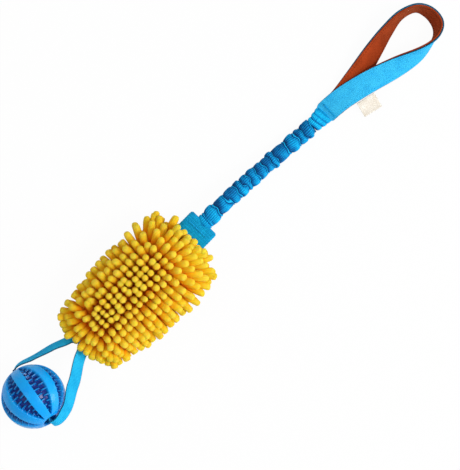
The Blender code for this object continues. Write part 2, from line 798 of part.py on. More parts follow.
def treat_ball(pivot, collection, cutters, material):
    """Rubber ball: sphere, eight toothed grooves and a bore with opened mouths."""
    bm = bmesh.new()
    bmesh.ops.create_uvsphere(bm, u_segments=BALL_SEGMENTS, v_segments=BALL_RINGS, radius=BALL_RADIUS)
    ball = add_object("treat_ball", bm, collection, material)
    ball.parent = pivot
    for number in range(GROOVE_COUNT):
        cutter = groove_cutter(number, cutters)
        cutter.parent = pivot
        cut(ball, cutter)
    bore_radius = math.hypot(STRAP_WIDTH, STRAP_THICKNESS) / 2 + BALL_BORE_CLEARANCE
    wide = bore_radius + 2 * BALL_MOUTH
    outside = BALL_RADIUS + OVERRUN
    mouth = BALL_RADIUS - 2 * BALL_MOUTH
    profile = [(0, outside), (wide, outside), (bore_radius, mouth)]
    profile += [(radius, -height) for radius, height in reversed(profile)]
    bore = turned("ball_bore", profile, 24, cutters)
    bore.parent = pivot
    cut(ball, bore)
    smooth_round(ball, 30)
    return ball


# Ball strap
def leg_nodes(first, last, leg_shares):
    """Route nodes along one leg, bowed to the side away from the ball."""
    leg = (last - first).normalized()
    nodes = []
    for share, bow_share, turn_share, roll in leg_shares:
        bow = Vector((0, -BALL_RADIUS * bow_share, 0))
        direction = leg + Vector((-turn_share, 0, 0))
        nodes.append((first.lerp(last, share) + bow, direction.normalized(), roll))
    return nodes


def strap_nodes():
    """Route of the ball strap: place, direction and roll from level, in degrees.

    It runs from the pad along the near leg to the ball's raised pole, through the bore,
    round the lowered pole and back along the other leg.
    """
    axis = ball_axis()
    near = BALL_CENTRE + axis * (BALL_RADIUS + STRAP_TURN_OUT)
    far = BALL_CENTRE - axis * (BALL_RADIUS + STRAP_TURN_OUT_FAR)
    root = STRAP_PIVOT - STRAP_NOSE - GAP
    lift = (STRAP_THICKNESS + GAP) / 2
    near_root = Vector((root, STRAP_OFFSET - STRAP_SPLAY, PAD_MID + lift))
    far_root = Vector((root, STRAP_OFFSET + STRAP_SPLAY, PAD_MID - lift))
    near_leg = (near - near_root).normalized()
    far_leg = (far_root - far).normalized()
    backward = Vector((-1, 0, 0))
    nodes = [(near_root, backward, 0)]
    nodes += leg_nodes(near_root, near, NEAR_LEG_SHARES)
    nodes.append((near - axis * STRAP_THICKNESS / 2, (near_leg - axis).normalized(), NEAR_POLE_ROLL_DEGREES))
    for share, roll in BORE_ROUTE_SHARES:
        nodes.append((BALL_CENTRE + axis * (BALL_RADIUS * share), -axis, roll))
    nodes.append((far + axis * STRAP_THICKNESS / 2, (far_leg - axis).normalized(), FAR_POLE_ROLL_DEGREES))
    nodes += leg_nodes(far, far_root, FAR_LEG_SHARES)
    nodes.append((far_root, -backward, 0))
    return nodes


def hermite(first, second, share):
    """Point between two route nodes, leaving and meeting them in their directions."""
    reach = (second[0] - first[0]).length
    a = first[0]
    b = first[0] + first[1] * reach / 3
    c = second[0] - second[1] * reach / 3
    d = second[0]
    other = 1 - share
    return a * other ** 3 + b * (3 * other * other * share) + c * (3 * other * share * share) + d * share ** 3


def strap_point(nodes, place):
    i = min(int(place), len(nodes) - 2)
    return hermite(nodes[i], nodes[i + 1], place - i)


def strap_frame(nodes, share):
    """Middle, width direction and normal of the strap at a share of its route."""
    last = len(nodes) - 1
    place = share * last
    step = 0.004
    middle = strap_point(nodes, place)
    ahead = strap_point(nodes, min(place + step, last)) - strap_point(nodes, max(place - step, 0))
    ahead.normalize()
    i = min(int(place), last - 1)
    roll = nodes[i][2] + (nodes[i + 1][2] - nodes[i][2]) * smooth(place - i)
    roll = math.radians(roll)
    level = Vector((0, math.cos(roll), math.sin(roll)))
    across = (level - ahead * level.dot(ahead)).normalized()
    return middle, across, ahead.cross(across).normalized()


def ball_strap(collection, material):
    nodes = strap_nodes()
    bm = grid(STRAP_STATIONS * (len(nodes) - 1) // 2, 1)
    for vert in bm.verts:
        middle, across, normal = strap_frame(nodes, (vert.co.x + 1) / 2)
        vert.co = middle + across * (STRAP_WIDTH / 2 * vert.co.y)
    obj = add_object("ball_strap", bm, collection, material)
    layer = obj.modifiers.new("layer", "SOLIDIFY")
    layer.thickness = STRAP_THICKNESS
    layer.offset = 0
    layer.use_even_offset = True
    return obj


def strap_tail(collection, material):
    """The strap's two ends, sewn into the pad's seam, with a round nose on the swing axis."""
    start = STRAP_PIVOT_OUT + STRAP_TAIL_IN
    outline = nose_arc(STRAP_NOSE, -1)
    outline += [(start, STRAP_NOSE), (start, -STRAP_NOSE)]
    return side_profile_piece(
        "strap_tail", outline, STRAP_TAIL_WIDTH, (STRAP_PIVOT, STRAP_OFFSET, PAD_MID), collection, material
    )


def build():
    clear_scene()
    materials = make_materials()
    toy = make_collection("bungee_tug_toy")
    cutters = make_collection("cutters")

    pad_panel("pad_top_panel", True, toy, materials["chenille"])
    pad_panel("pad_bottom_panel", False, toy, materials["chenille"])
    pocket = add_squeaker(toy, cutters, materials)
    filling_half("filling_upper", True, pocket, toy, materials["stuffing"])
    filling_half("filling_lower", False, pocket, toy, materials["stuffing"])
    neck_band(toy, materials["sleeve"])
    bungee_root_tab(toy, materials["sleeve"])
    strap_tail(toy, materials["strap"])
    sleeve = bungee_sleeve(toy, cutters, materials["sleeve"])
    core = elastic_core(toy, materials["elastic"])
    cuff = sleeve_end_cuff(toy, materials["sleeve"])
    webbing = handle_webbing(toy, materials["strap"])
    lining = handle_lining(toy, materials["felt"])
    tag = handle_tag(toy, materials["label"])
    neck_tack, cuff_tack, handle_tack = add_tacks(toy, materials["thread"])
    strap = ball_strap(toy, materials["strap"])

    neck_pivot = add_pivot("neck_pivot", (NECK_PIVOT, 0, PAD_MID), toy)
    handle_pivot = add_pivot("handle_pivot", (HANDLE_PIVOT, -SLEEVE_DRIFT, CUFF_THICKNESS / 2), toy)
    strap_pivot = add_pivot("strap_pivot", (STRAP_PIVOT, STRAP_OFFSET, PAD_MID), toy)
    ball_pivot = add_pivot("ball_pivot", BALL_CENTRE, toy)
    ball_pivot.rotation_euler = ball_axis().to_track_quat("Z", "Y").to_euler()
    treat_ball(ball_pivot, toy, cutters, materials["rubber"])
    bpy.context.view_layer.update()
    for obj in (sleeve, core):
        parent_keeping_place(obj, neck_pivot)
    for obj in (webbing, lining, tag, handle_tack):
        parent_keeping_place(obj, handle_pivot)
    for obj in (cuff, cuff_tack, handle_pivot):
        parent_keeping_place(obj, neck_pivot)
    parent_keeping_place(strap, strap_pivot)
    parent_keeping_place(ball_pivot, strap_pivot)


build()
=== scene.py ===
"""Looks of the bungee tug toy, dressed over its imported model.

Every new piece is a surface worked out on a grid of two parameters, or a profile carried
along a path, in metres and in the toy's own frame: +X towards the handle, z = 0 the table.
"""

import json
import math

import bpy
import numpy as np
from mathutils import Matrix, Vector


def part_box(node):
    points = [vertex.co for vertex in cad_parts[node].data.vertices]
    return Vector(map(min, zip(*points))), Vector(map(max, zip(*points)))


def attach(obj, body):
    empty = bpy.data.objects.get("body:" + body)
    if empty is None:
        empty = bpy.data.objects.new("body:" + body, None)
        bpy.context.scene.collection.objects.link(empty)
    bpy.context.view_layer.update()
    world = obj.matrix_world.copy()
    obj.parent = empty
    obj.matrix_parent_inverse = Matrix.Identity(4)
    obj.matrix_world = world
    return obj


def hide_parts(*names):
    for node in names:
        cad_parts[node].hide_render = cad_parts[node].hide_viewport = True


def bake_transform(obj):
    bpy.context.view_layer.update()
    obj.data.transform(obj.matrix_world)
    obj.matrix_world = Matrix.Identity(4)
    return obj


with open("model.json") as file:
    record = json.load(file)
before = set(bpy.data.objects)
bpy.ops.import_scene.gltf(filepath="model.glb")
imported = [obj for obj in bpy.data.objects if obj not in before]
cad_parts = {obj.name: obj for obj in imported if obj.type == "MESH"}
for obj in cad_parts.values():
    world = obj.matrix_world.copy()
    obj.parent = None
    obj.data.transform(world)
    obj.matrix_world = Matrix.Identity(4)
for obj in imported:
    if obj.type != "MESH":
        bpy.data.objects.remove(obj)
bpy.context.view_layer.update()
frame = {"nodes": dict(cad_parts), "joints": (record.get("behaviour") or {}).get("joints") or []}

MM = 0.001
TURN = 2 * math.pi
UP = np.array([0.0, 0.0, 1.0])

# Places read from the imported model
joints = {joint["name"]: joint for joint in frame["joints"]}
boxes = {node: np.array(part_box(node)) for node in frame["nodes"]}
PAD_MID = (boxes["pad_top_panel"][0, 2] + boxes["pad_bottom_panel"][1, 2]) / 2
BAND_START, BAND_END = boxes["neck_band"][:, 0]
BAND_HALF_WIDTH = boxes["neck_band"][1, 1]
BAND_HALF_HEIGHT = boxes["neck_band"][1, 2] - PAD_MID
SLEEVE_START, SLEEVE_END = boxes["bungee_sleeve"][:, 0]
CUFF_START, CUFF_END = boxes["sleeve_end_cuff"][:, 0]
CUFF_WIDTH = boxes["sleeve_end_cuff"][1, 1] - boxes["sleeve_end_cuff"][0, 1]
HANDLE_PIVOT = np.array(joints["handle_fold"]["pos_m"])
STRAP_PIVOT = np.array(joints["strap_swing"]["pos_m"])
BALL_CENTRE = np.array(joints["ball_spin"]["pos_m"])
BALL_AXIS = np.array(joints["ball_spin"]["axis"])
SLEEVE_DRIFT = -HANDLE_PIVOT[1]
CUFF_THICKNESS = 2 * HANDLE_PIVOT[2]

# Pad
PAD_HALF_LENGTH = 68.0 * MM
PAD_HALF_WIDTH = 36.0 * MM
PAD_CROWN = 15.0 * MM
PANEL_THICKNESS = 2.4 * MM
PAD_END_POWER = 4
PAD_SIDE_POWER = 2.6
PITCH_ALONG_SHARE = 1.12
PITCH_ACROSS_SHARE = 1.22
NECK_REACH = 21.0 * MM
NECK_FLAT_SHARE = 0.41
NECK_SIDE_SHARE = 0.85
TONGUE_HALF = 2.55 * MM
TONGUE_TURN_SHARE = 0.235
RIM_HALF_GAP = 0.15 * MM
TAIL_HALF_WIDTH = 12.8 * MM
TAIL_LIFT = 1.9 * MM

# Noodles of the chenille: they stand up along a spine and lean more towards the rim
NOODLE_ROWS = 19
NOODLE_COLUMNS = 12
NOODLE_LENGTH = 18.2 * MM
NOODLE_RADIUS = 4.15 * MM
NOODLE_SIDES = 8
NOODLE_STATION_SHARES = (0.0, 0.25, 0.5, 0.78, 0.89, 0.955, 0.988)
NOODLE_RADIUS_SHARES = (1.12, 1.12, 1.09, 1.02, 0.95, 0.77, 0.46)
NOODLES_OVER_BAND_TO = 88.5 * MM
NOODLE_DROOP = 4.2 * MM
NOODLE_LEAN = 1.42
NOODLE_LEAN_POWER = 1.85
SPINE_START = (-40.0 * MM, 6.0 * MM)
SPINE_END = (31.0 * MM, 8.0 * MM)
SPINE_TO_RIM = 35.0 * MM
SPINE_TO_RIM_SHIFT = 4.0 * MM
TUFT = (-38.0 * MM, 7.0 * MM)
TUFT_REACH = 13.0 * MM

# Neck band
BAND_POWER = 4.5
BAND_WALL = 2.2 * MM

# Gathered sleeve
SLEEVE_HALF_WIDTH = 9.3 * MM
SLEEVE_HALF_HEIGHT = 6.5 * MM
SLEEVE_TABLE_GAP = 0.3 * MM
FOLD_COUNT = 13
RIB_COUNT = 24
RIB_HEIGHT = 0.42 * MM
CREASE_SIZE_SHARE = 0.80
PUFF_SIZE_SHARE = 0.28
LIP_SIZE_SHARE = 0.15
ROOT_GATHER_LAP = 4.0 * MM
CUFF_LAP = 3.5 * MM

# Handle
HANDLE_LENGTH = 160.0 * MM
HANDLE_ROOT = HANDLE_PIVOT[0] + CUFF_THICKNESS / 2 + 0.3 * MM
WEBBING_WIDTH = 25.0 * MM
WEBBING_THICKNESS = 1.5 * MM
LINING_WIDTH = 25.2 * MM
LINING_THICKNESS = 1.8 * MM
LAYER_GAP = 0.4 * MM
LEG_STACK = 4.5 * MM
ROOT_WIDTH = 20.5 * MM
LINING_FIRST_SHARE = 0.107
STITCH_INSET = 9.8 * MM
STITCH_LENGTH = 2.2 * MM
STITCH_RADIUS = 0.22 * MM
STITCH_RINGS = 5
STITCH_SIDES = 6
TACK_SIZE = 2.2 * MM
TACK_STITCHES = 26
TACK_THREAD_RADIUS = 0.32 * MM
LABEL_SHARE = 0.816
LABEL_TILT = 0.21
LABEL_SHIFT = 4.0 * MM
LABEL_LENGTH = 18.0 * MM
LABEL_WIDTH = 22.5 * MM
HANDLE_ROUTE_SHARES = (
    (0.000, 0.000, 90, 0.00),
    (0.030, 0.000, 90, 0.00),
    (0.085, -0.003, 89, 0.04),
    (0.178, -0.006, 82, 0.00),
    (0.356, 0.022, 66, 0.00),
    (0.559, 0.065, 46, 0.00),
    (0.715, 0.094, 29, 0.00),
    (0.855, 0.104, 16, 0.00),
    (0.968, 0.062, 12, 0.00),
    (1.010, -0.022, 20, 0.00),
    (1.000, -0.115, 22, 0.00),
    (0.945, -0.168, 10, 0.00),
    (0.861, -0.184, -6, 0.00),
    (0.746, -0.174, -29, 0.00),
    (0.571, -0.122, -58, 0.06),
    (0.380, -0.062, -78, 0.98),
    (0.196, -0.018, -88, 1.34),
    (0.085, -0.003, -89, 0.86),
    (0.030, 0.000, -90, 0.00),
    (0.000, 0.000, -90, 0.00),
)

# Ball and its strap
BALL_RADIUS = 35.0 * MM
BORE_RADIUS = 7.7 * MM
MOUTH_WIDTH = 1.8 * MM
GROOVE_COUNT = 8
GROOVE_DEPTH = 5.0 * MM
GROOVE_HALF_ANGLE = 13.2
GROOVE_END_LATITUDE = 70.0
GROOVE_TEETH = 12
TOOTH_SHARE = 0.27
GROOVE_PHASE_DEGREES = 18.0
STRAP_WIDTH = 14.0 * MM
STRAP_THICKNESS = 1.6 * MM
STRAP_SPLAY = 5.8 * MM
STRAP_TURN_OUT = 4.2 * MM
STRAP_TURN_OUT_FAR = 3.2 * MM
NEAR_BOWS = np.array([[1.0, -4.0, 0.0], [3.2, -6.2, 0.0]]) * MM
NEAR_TURNS = np.array([[0.0, -0.02, 0.0], [-0.14, 0.10, 0.0]])
FAR_BOWS = np.array([[1.0, 1.5, 0.0], [0.5, 1.5, 0.0]]) * MM


# Meshes
def add_mesh(name, points, faces, material, uvs=None, values=None):
    """A mesh from points and arrays of corner indices, one array for each size of face.

    uvs holds a row for each corner in the order of the faces, values a number for each point.
    """
    mesh = bpy.data.meshes.new(name)
    points = np.asarray(points, np.float32).reshape(-1, 3)
    corners = np.concatenate([f.ravel() for f in faces]).astype(np.int32)
    sizes = np.concatenate([np.full(len(f), f.shape[1]) for f in faces])
    starts = np.concatenate([[0], np.cumsum(sizes)[:-1]]).astype(np.int32)
    mesh.vertices.add(len(points))
    mesh.vertices.foreach_set("co", points.ravel())
    mesh.loops.add(len(corners))
    mesh.loops.foreach_set("vertex_index", corners)
    mesh.polygons.add(len(sizes))
    mesh.polygons.foreach_set("loop_start", starts)
    mesh.polygons.foreach_set("use_smooth", np.ones(len(sizes), bool))
    mesh.update(calc_edges=True)
    if uvs is not None:
        layer = mesh.uv_layers.new(name="UVMap")
        layer.data.foreach_set("uv", np.asarray(uvs, np.float32).ravel())
    for key, numbers in (values or {}).items():
        attribute = mesh.attributes.new(key, "FLOAT", "POINT")
        attribute.data.foreach_set("value", np.asarray(numbers, np.float32).ravel())
    mesh.materials.append(material)
    obj = bpy.data.objects.new(name, mesh)
    bpy.context.scene.collection.objects.link(obj)
    return obj


def quads(rows, columns, wrap_rows=False, wrap_columns=False):
    """Corner indices of a grid's quads, and each corner's step in the grid before it wraps."""
    i, j = np.meshgrid(
        np.arange(rows - 1 + wrap_rows), np.arange(columns - 1 + wrap_columns), indexing="ij"
    )
    corners = ((0, 0), (1, 0), (1, 1), (0, 1))
    steps = np.stack([np.stack([i + a, j + b], -1) for a, b in corners], 2).reshape(-1, 4, 2)
    return steps[..., 0] % rows * columns + steps[..., 1] % columns, steps


def signed_volume(points, faces):
    """Sum of the tetrahedra between the origin and each face's first triangles."""
    total = 0.0
    for face in faces:
        first = points[face[:, 0]]
        for k in range(1, face.shape[1] - 1):
            turned = np.cross(points[face[:, k]], points[face[:, k + 1]])
            total += np.einsum("ij,ij->", first, turned)
    return total


def surface(name, points, material, uv=None, wrap=(False, False), caps=False, values=None):
    """A grid of points as a skin, turned so that its faces point outwards."""
    rows, columns = points.shape[:2]
    index, steps = quads(rows, columns, *wrap)
    faces = [index]
    corner_steps = [steps.reshape(-1, 2)]
    if caps:
        ring = np.arange(columns)
        faces.append(ring[None])
        faces.append(((rows - 1) * columns + ring[::-1])[None])
        corner_steps.append(np.stack([np.zeros(columns, int), ring], 1))
        corner_steps.append(np.stack([np.full(columns, rows - 1), ring[::-1]], 1))
    flat = points.reshape(-1, 3)
    uvs = None
    if uv is not None:
        where = np.concatenate(corner_steps)
        uvs = uv[where[:, 0], where[:, 1]]
    if signed_volume(flat, faces) < 0:
        if uvs is not None:
            ends = np.cumsum([f.size for f in faces])[:-1]
            parts = zip(np.split(uvs, ends), faces)
            turned = [p.reshape(f.shape + (2,))[:, ::-1] for p, f in parts]
            uvs = np.concatenate([p.reshape(-1, 2) for p in turned])
        faces = [f[:, ::-1] for f in faces]
    return add_mesh(name, flat, faces, material, uvs, values)


def unit(vectors):
    """Vectors brought to length 1."""
    return vectors / np.maximum(np.linalg.norm(vectors, axis=-1, keepdims=True), 1e-12)


def smooth(share):
    """Smooth step from 0 to 1."""
    share = np.clip(share, 0, 1)
    return share * share * (3 - 2 * share)


def path_lengths(middle):
    """Length along a row of points, from the first."""
    return np.concatenate([[0], np.cumsum(np.linalg.norm(np.diff(middle, axis=0), axis=1))])


def band_section(width, thickness, columns, power=7.0):
    """Flat strip with rounded edges: a superellipse, as (across, out) for each angle."""
    angle = TURN * (np.arange(columns) + 0.5) / columns
    across = np.sign(np.cos(angle)) * np.abs(np.cos(angle)) ** (2 / power)
    out = np.sign(np.sin(angle)) * np.abs(np.sin(angle)) ** (2 / power)
    return np.stack([across * width / 2, out * thickness / 2], 1)


def even_outline(half_width, half_height, power, columns):
    """A superellipse |y/a|^p + |z/b|^p = 1 with its points evenly spaced round it.

    Gives the points, the directions out of them, and their places round the outline.
    """
    angle = np.linspace(0, TURN, 4001)
    y = half_width * np.sign(np.cos(angle)) * np.abs(np.cos(angle)) ** (2 / power)
    z = half_height * np.sign(np.sin(angle)) * np.abs(np.sin(angle)) ** (2 / power)
    length = path_lengths(np.stack([y, z], 1))
    around = np.linspace(0, length[-1], columns + 1)
    points = np.stack([np.interp(around, length, y), np.interp(around, length, z)], 1)[:-1]
    ahead = unit(np.roll(points, -1, 0) - np.roll(points, 1, 0))
    return points, np.stack([ahead[:, 1], -ahead[:, 0]], 1), around


def swept(name, path, section, material, values=None):
    """A closed section carried along a path of middles, width directions and normals.

    Each ring is the middle plus across times the section's first number plus normal times
    its second. The UV map holds the length along the path and the place across it.
    """
    middle, across, normal = path
    rows = len(middle)
    section = np.broadcast_to(section, (rows,) + section.shape[-2:])
    points = middle[:, None] + across[:, None] * section[..., :1]
    points = points + normal[:, None] * section[..., 1:]
    along = np.broadcast_to(path_lengths(middle)[:, None], points.shape[:2])
    uv = np.stack([along, section[..., 0]], -1)
    uv = np.concatenate([uv, uv[:, :1]], 1)
    return surface(name, points, material, uv, (False, True), True, values)


# Materials
def add_node(tree, kind, inputs=None, **settings):
    """A shader node with its settings; an input that is a socket is linked, else it is set."""
    made = tree.nodes.new(kind)
    for key, value in settings.items():
        setattr(made, key, value)
    for key, value in (inputs or {}).items():
        if isinstance(value, bpy.types.NodeSocket):
            tree.links.new(value, made.inputs[key])
        else:
            made.inputs[key].default_value = value
    return made


def start_material(name, roughness, **constants):
    """A Principled material whose all-over numbers are set on its own sockets."""
    material = bpy.data.materials.new(name)
    material.use_nodes = True
    shader = material.node_tree.nodes["Principled BSDF"]
    shader.inputs["Roughness"].default_value = roughness
    for key, value in constants.items():
        shader.inputs[key.replace("_", " ")].default_value = value
    return material, material.node_tree, shader


def math_node(tree, operation, first, second=0.0):
    """One sum, product or other step on two numbers."""
    return add_node(tree, "ShaderNodeMath", {0: first, 1: second}, operation=operation).outputs[0]


def mix_colour(tree, factor, first, second):
    """Two colours mixed by a factor."""
    made = add_node(tree, "ShaderNodeMix", {0: factor}, data_type="RGBA", blend_type="MIX")
    for slot, colour in ((6, first), (7, second)):
        if isinstance(colour, bpy.types.NodeSocket):
            tree.links.new(colour, made.inputs[slot])
        else:
            made.inputs[slot].default_value = (*colour, 1)
    return made.outputs[2]


def noise(tree, scale, detail=3.0, vector=None, roughness=0.6):
    """Noise on the object's own coordinates; scale is in waves a metre."""
    if vector is None:
        vector = add_node(tree, "ShaderNodeTexCoord").outputs["Object"]
    inputs = {"Vector": vector, "Scale": scale, "Detail": detail, "Roughness": roughness}
    return add_node(tree, "ShaderNodeTexNoise", inputs).outputs["Fac"]


def around_half(tree, value, pattern, amount):
    """A value raised or lowered by a pattern that runs from 0 to 1."""
    moved = math_node(tree, "MULTIPLY", math_node(tree, "SUBTRACT", pattern, 0.5), amount)
    return math_node(tree, "ADD", value, moved)


def uv_axes(tree):
    """The UV map's two numbers: metres along the piece, and metres across it."""
    uv = add_node(tree, "ShaderNodeUVMap", uv_map="UVMap").outputs[0]
    split = add_node(tree, "ShaderNodeSeparateXYZ", {0: uv})
    return split.outputs[0], split.outputs[1]


def wave(tree, value, pitch):
    """A wave from 0 to 1 that repeats at each pitch."""
    turned = math_node(tree, "MULTIPLY", value, TURN / pitch)
    scaled = math_node(tree, "MULTIPLY", math_node(tree, "SINE", turned), 0.5)
    return math_node(tree, "ADD", scaled, 0.5)


def bump(tree, shader, height, distance, strength=1.0):
    """Fine relief from a height that runs from 0 to 1, over a distance in metres."""
    inputs = {"Height": height, "Distance": distance, "Strength": strength}
    made = add_node(tree, "ShaderNodeBump", inputs)
    tree.links.new(made.outputs[0], shader.inputs["Normal"])


def ramp(tree, factor, stops):
    """Colours along a value, from stops of (place, colour)."""
    made = add_node(tree, "ShaderNodeValToRGB", {0: factor})
    elements = made.color_ramp.elements
    while len(elements) < len(stops):
        elements.new(0.5)
    for element, (place, colour) in zip(elements, stops):
        element.position = place
        element.color = (*colour, 1)
    return made.outputs[0]


def webbing_material(name, light, dark, rib_pitch, column_pitch, rib_height, half_width=None):
    """Woven tape: ribs across it, columns of yarn along it, uneven dye, and painted shade along its
    edges.
    """
    material, tree, shader = start_material(
        name, 0.7, Sheen_Weight=0.12, Sheen_Roughness=0.5, Sheen_Tint=(*light, 1),
        Specular_IOR_Level=0.12,
    )
    along, across = uv_axes(tree)
    ribs = wave(tree, along, rib_pitch)
    columns = wave(tree, across, column_pitch)
    weave = math_node(tree, "MULTIPLY", ribs, math_node(tree, "ADD", columns, 1.0))
    place = around_half(tree, around_half(tree, 0.5, weave, 0.34), noise(tree, 90.0, 4.0), 1.1)
    place = around_half(tree, place, noise(tree, 900.0, 3.0), 0.7)
    colour = ramp(tree, place, ((0.12, dark), (0.85, light)))
    # Painted shade: the colour darkens over the last half millimetre at each edge, as if in shadow.
    if half_width:
        distance = math_node(tree, "ABSOLUTE", across)
        out = math_node(tree, "SUBTRACT", distance, half_width - 0.5 * MM)
        edge = math_node(tree, "MULTIPLY", out, 1 / (0.3 * MM))
        edge = add_node(tree, "ShaderNodeClamp", {0: edge}).outputs[0]
        colour = mix_colour(tree, edge, colour, (0.004, 0.09, 0.17))
    tree.links.new(colour, shader.inputs["Base Color"])
    fuzz = math_node(tree, "MULTIPLY", noise(tree, 2500.0, 2.0), 0.3)
    bump(tree, shader, math_node(tree, "ADD", weave, fuzz), rib_height)
    return material


def sleeve_material():
    """Gathered tubing: ribs along it, with a painted highlight on the folds' crests and lips and
    painted shade in the creases and between the ribs.
    """
    material, tree, shader = start_material(
        "sleeve_tubing", 0.65, Sheen_Weight=0.1, Sheen_Roughness=0.5,
        Sheen_Tint=(0.1, 0.6, 1.0, 1), Specular_IOR_Level=0.12,
    )
    along, across = uv_axes(tree)
    puff = add_node(tree, "ShaderNodeAttribute", attribute_name="puff").outputs["Fac"]
    rib = add_node(tree, "ShaderNodeAttribute", attribute_name="rib").outputs["Fac"]
    # Painted light and shade: puff lightens crests and lips and darkens creases and one side of the
    # tube; rib lightens rib crests over painted shade between them.
    place = around_half(tree, puff, noise(tree, 150.0, 4.0), 0.6)
    place = around_half(tree, place, rib, 0.34)
    stops = (
        (0.02, (0.0, 0.035, 0.13)),
        (0.30, (0.0, 0.13, 0.40)),
        (0.58, (0.0, 0.35, 0.74)),
        (0.90, (0.01, 0.60, 1.0)),
    )
    tree.links.new(ramp(tree, place, stops), shader.inputs["Base Color"])
    weave = math_node(tree, "MULTIPLY", wave(tree, along, 0.9 * MM), wave(tree, across, 0.9 * MM))
    bump(tree, shader, weave, 0.14 * MM)
    return material


def chenille_material():
    """Microfibre noodles: bright at the tips, with painted deep orange shade towards the roots,
    standing in for shade and light crossing the pile.
    """
    material, tree, shader = start_material(
        "chenille", 0.9, Sheen_Weight=0.7, Sheen_Roughness=0.35,
        Sheen_Tint=(1.0, 0.60, 0.06, 1), Specular_IOR_Level=0.05, Subsurface_Weight=0.35,
        Subsurface_Scale=6 * MM, Subsurface_Radius=(1.0, 0.35, 0.04),
    )
    depth = add_node(tree, "ShaderNodeAttribute", attribute_name="depth").outputs["Fac"]
    shade = add_node(tree, "ShaderNodeAttribute", attribute_name="shade").outputs["Fac"]
    mottle = noise(tree, 260.0, 3.0)
    place = around_half(tree, depth, mottle, 0.34)
    place = around_half(tree, place, shade, 0.20)
    # Painted shade: the ramp runs from deep orange at the roots (depth 0) to bright yellow at the
    # tips (depth 1).
    stops = (
        (0.0, (1.0, 0.23, 0.002)),
        (0.25, (1.0, 0.34, 0.004)),
        (0.50, (1.0, 0.51, 0.012)),
        (0.72, (1.0, 0.62, 0.024)),
        (1.0, (1.0, 0.71, 0.055)),
    )
    tree.links.new(ramp(tree, place, stops), shader.inputs["Base Color"])
    fibres = noise(tree, 1400.0, 4.0, roughness=0.75)
    bump(tree, shader, fibres, 0.9 * MM, 0.8)
    return material


def rubber_material():
    """Moulded rubber: glossy lands, painted shade in the grooves and the bore, a fine moulding
    grain.
    """
    material, tree, shader = start_material(
        "ball_rubber", 0.30, Coat_Weight=0.28, Coat_Roughness=0.13, Specular_IOR_Level=0.2
    )
    sunk = add_node(tree, "ShaderNodeAttribute", attribute_name="sunk").outputs["Fac"]
    stops = ((0.3, (0.0, 0.36, 0.97)), (0.7, (0.0, 0.44, 1.0)))
    land = ramp(tree, noise(tree, 60.0, 3.0), stops)
    # Painted shade: the sunk value darkens the grooves' floors, less on their teeth, and the bore.
    colour = mix_colour(tree, sunk, land, (0.0, 0.026, 0.24))
    tree.links.new(colour, shader.inputs["Base Color"])
    bump(tree, shader, noise(tree, 900.0, 3.0), 0.12 * MM, 0.5)
    return material


def felt_material():
    """Brushed brown lining with a short nap and rubbed places."""
    material, tree, shader = start_material(
        "felt_lining", 0.95, Sheen_Weight=0.2, Sheen_Roughness=0.6, Sheen_Tint=(1.0, 0.45, 0.2, 1),
        Specular_IOR_Level=0.05,
    )
    nap = noise(tree, 1600.0, 4.0, roughness=0.8)
    place = around_half(tree, around_half(tree, 0.5, noise(tree, 70.0, 4.0), 0.9), nap, 0.6)
    stops = ((0.1, (0.21, 0.023, 0.004)), (0.9, (0.50, 0.062, 0.012)))
    tree.links.new(ramp(tree, place, stops), shader.inputs["Base Color"])
    bump(tree, shader, nap, 0.5 * MM, 0.7)
    return material


def label_material():
    """Cream satin ribbon: a fine weave with a soft sheen."""
    material, tree, shader = start_material(
        "label_ribbon", 0.5, Sheen_Weight=0.3, Specular_IOR_Level=0.4
    )
    along, across = uv_axes(tree)
    weave = math_node(tree, "MULTIPLY", wave(tree, along, 0.5 * MM), wave(tree, across, 0.5 * MM))
    colour = ramp(tree, noise(tree, 120.0), ((0.3, (0.80, 0.72, 0.60)), (0.7, (0.93, 0.88, 0.79))))
    tree.links.new(colour, shader.inputs["Base Color"])
    bump(tree, shader, weave, 0.06 * MM)
    return material


def thread_material(name, low, high):
    """Twisted thread: fine slanted plies in two close shades."""
    material, tree, shader = start_material(name, 0.7, Specular_IOR_Level=0.15)
    place = add_node(tree, "ShaderNodeTexCoord").outputs["Object"]
    split = add_node(tree, "ShaderNodeSeparateXYZ", {0: place})
    slanted = math_node(tree, "ADD", split.outputs[0], split.outputs[1])
    plies = wave(tree, math_node(tree, "ADD", slanted, split.outputs[2]), 0.5 * MM)
    place = around_half(tree, plies, noise(tree, 700.0), 0.5)
    tree.links.new(ramp(tree, place, ((0.1, low), (0.9, high))), shader.inputs["Base Color"])
    bump(tree, shader, plies, 0.05 * MM)
    return material


def plain_cloth_material(name, low, high, grain, height, roughness=0.9):
    """Cloth, foam or thread in two close colours with a grain."""
    material, tree, shader = start_material(name, roughness, Sheen_Weight=0.2)
    grains = noise(tree, grain, 4.0)
    tree.links.new(ramp(tree, grains, ((0.3, low), (0.7, high))), shader.inputs["Base Color"])
    bump(tree, shader, grains, height)
    return material


# Pad: the pillow under the noodles
def level_share(value, pitch_share):
    """Share of the pad's half length or width: wider steps in the middle, where it is level."""
    return value * (pitch_share - (pitch_share - 1) * value * value)


def neck_share(v):
    """1 across the tongue that enters the neck band, 0 at the pad's sides."""
    out = np.abs(level_share(v, PITCH_ACROSS_SHARE))
    return np.clip((NECK_SIDE_SHARE - out) / (NECK_SIDE_SHARE - NECK_FLAT_SHARE), 0, 1) ** 2


def tongue_share(u, v):
    """1 on the flat tongue, 0 on the pillow."""
    return neck_share(v) * smooth((u - 1) * 2 / TONGUE_TURN_SHARE + 2)


def strap_lift(u, y):
    """How far the pad's rim opens round the strap's tail."""
    outside = np.abs(y - STRAP_PIVOT[1]) - TAIL_HALF_WIDTH
    across = smooth(2 - outside / (6.5 * MM))
    return TAIL_LIFT * across * smooth((-u - 1) * 8.5 + 1)


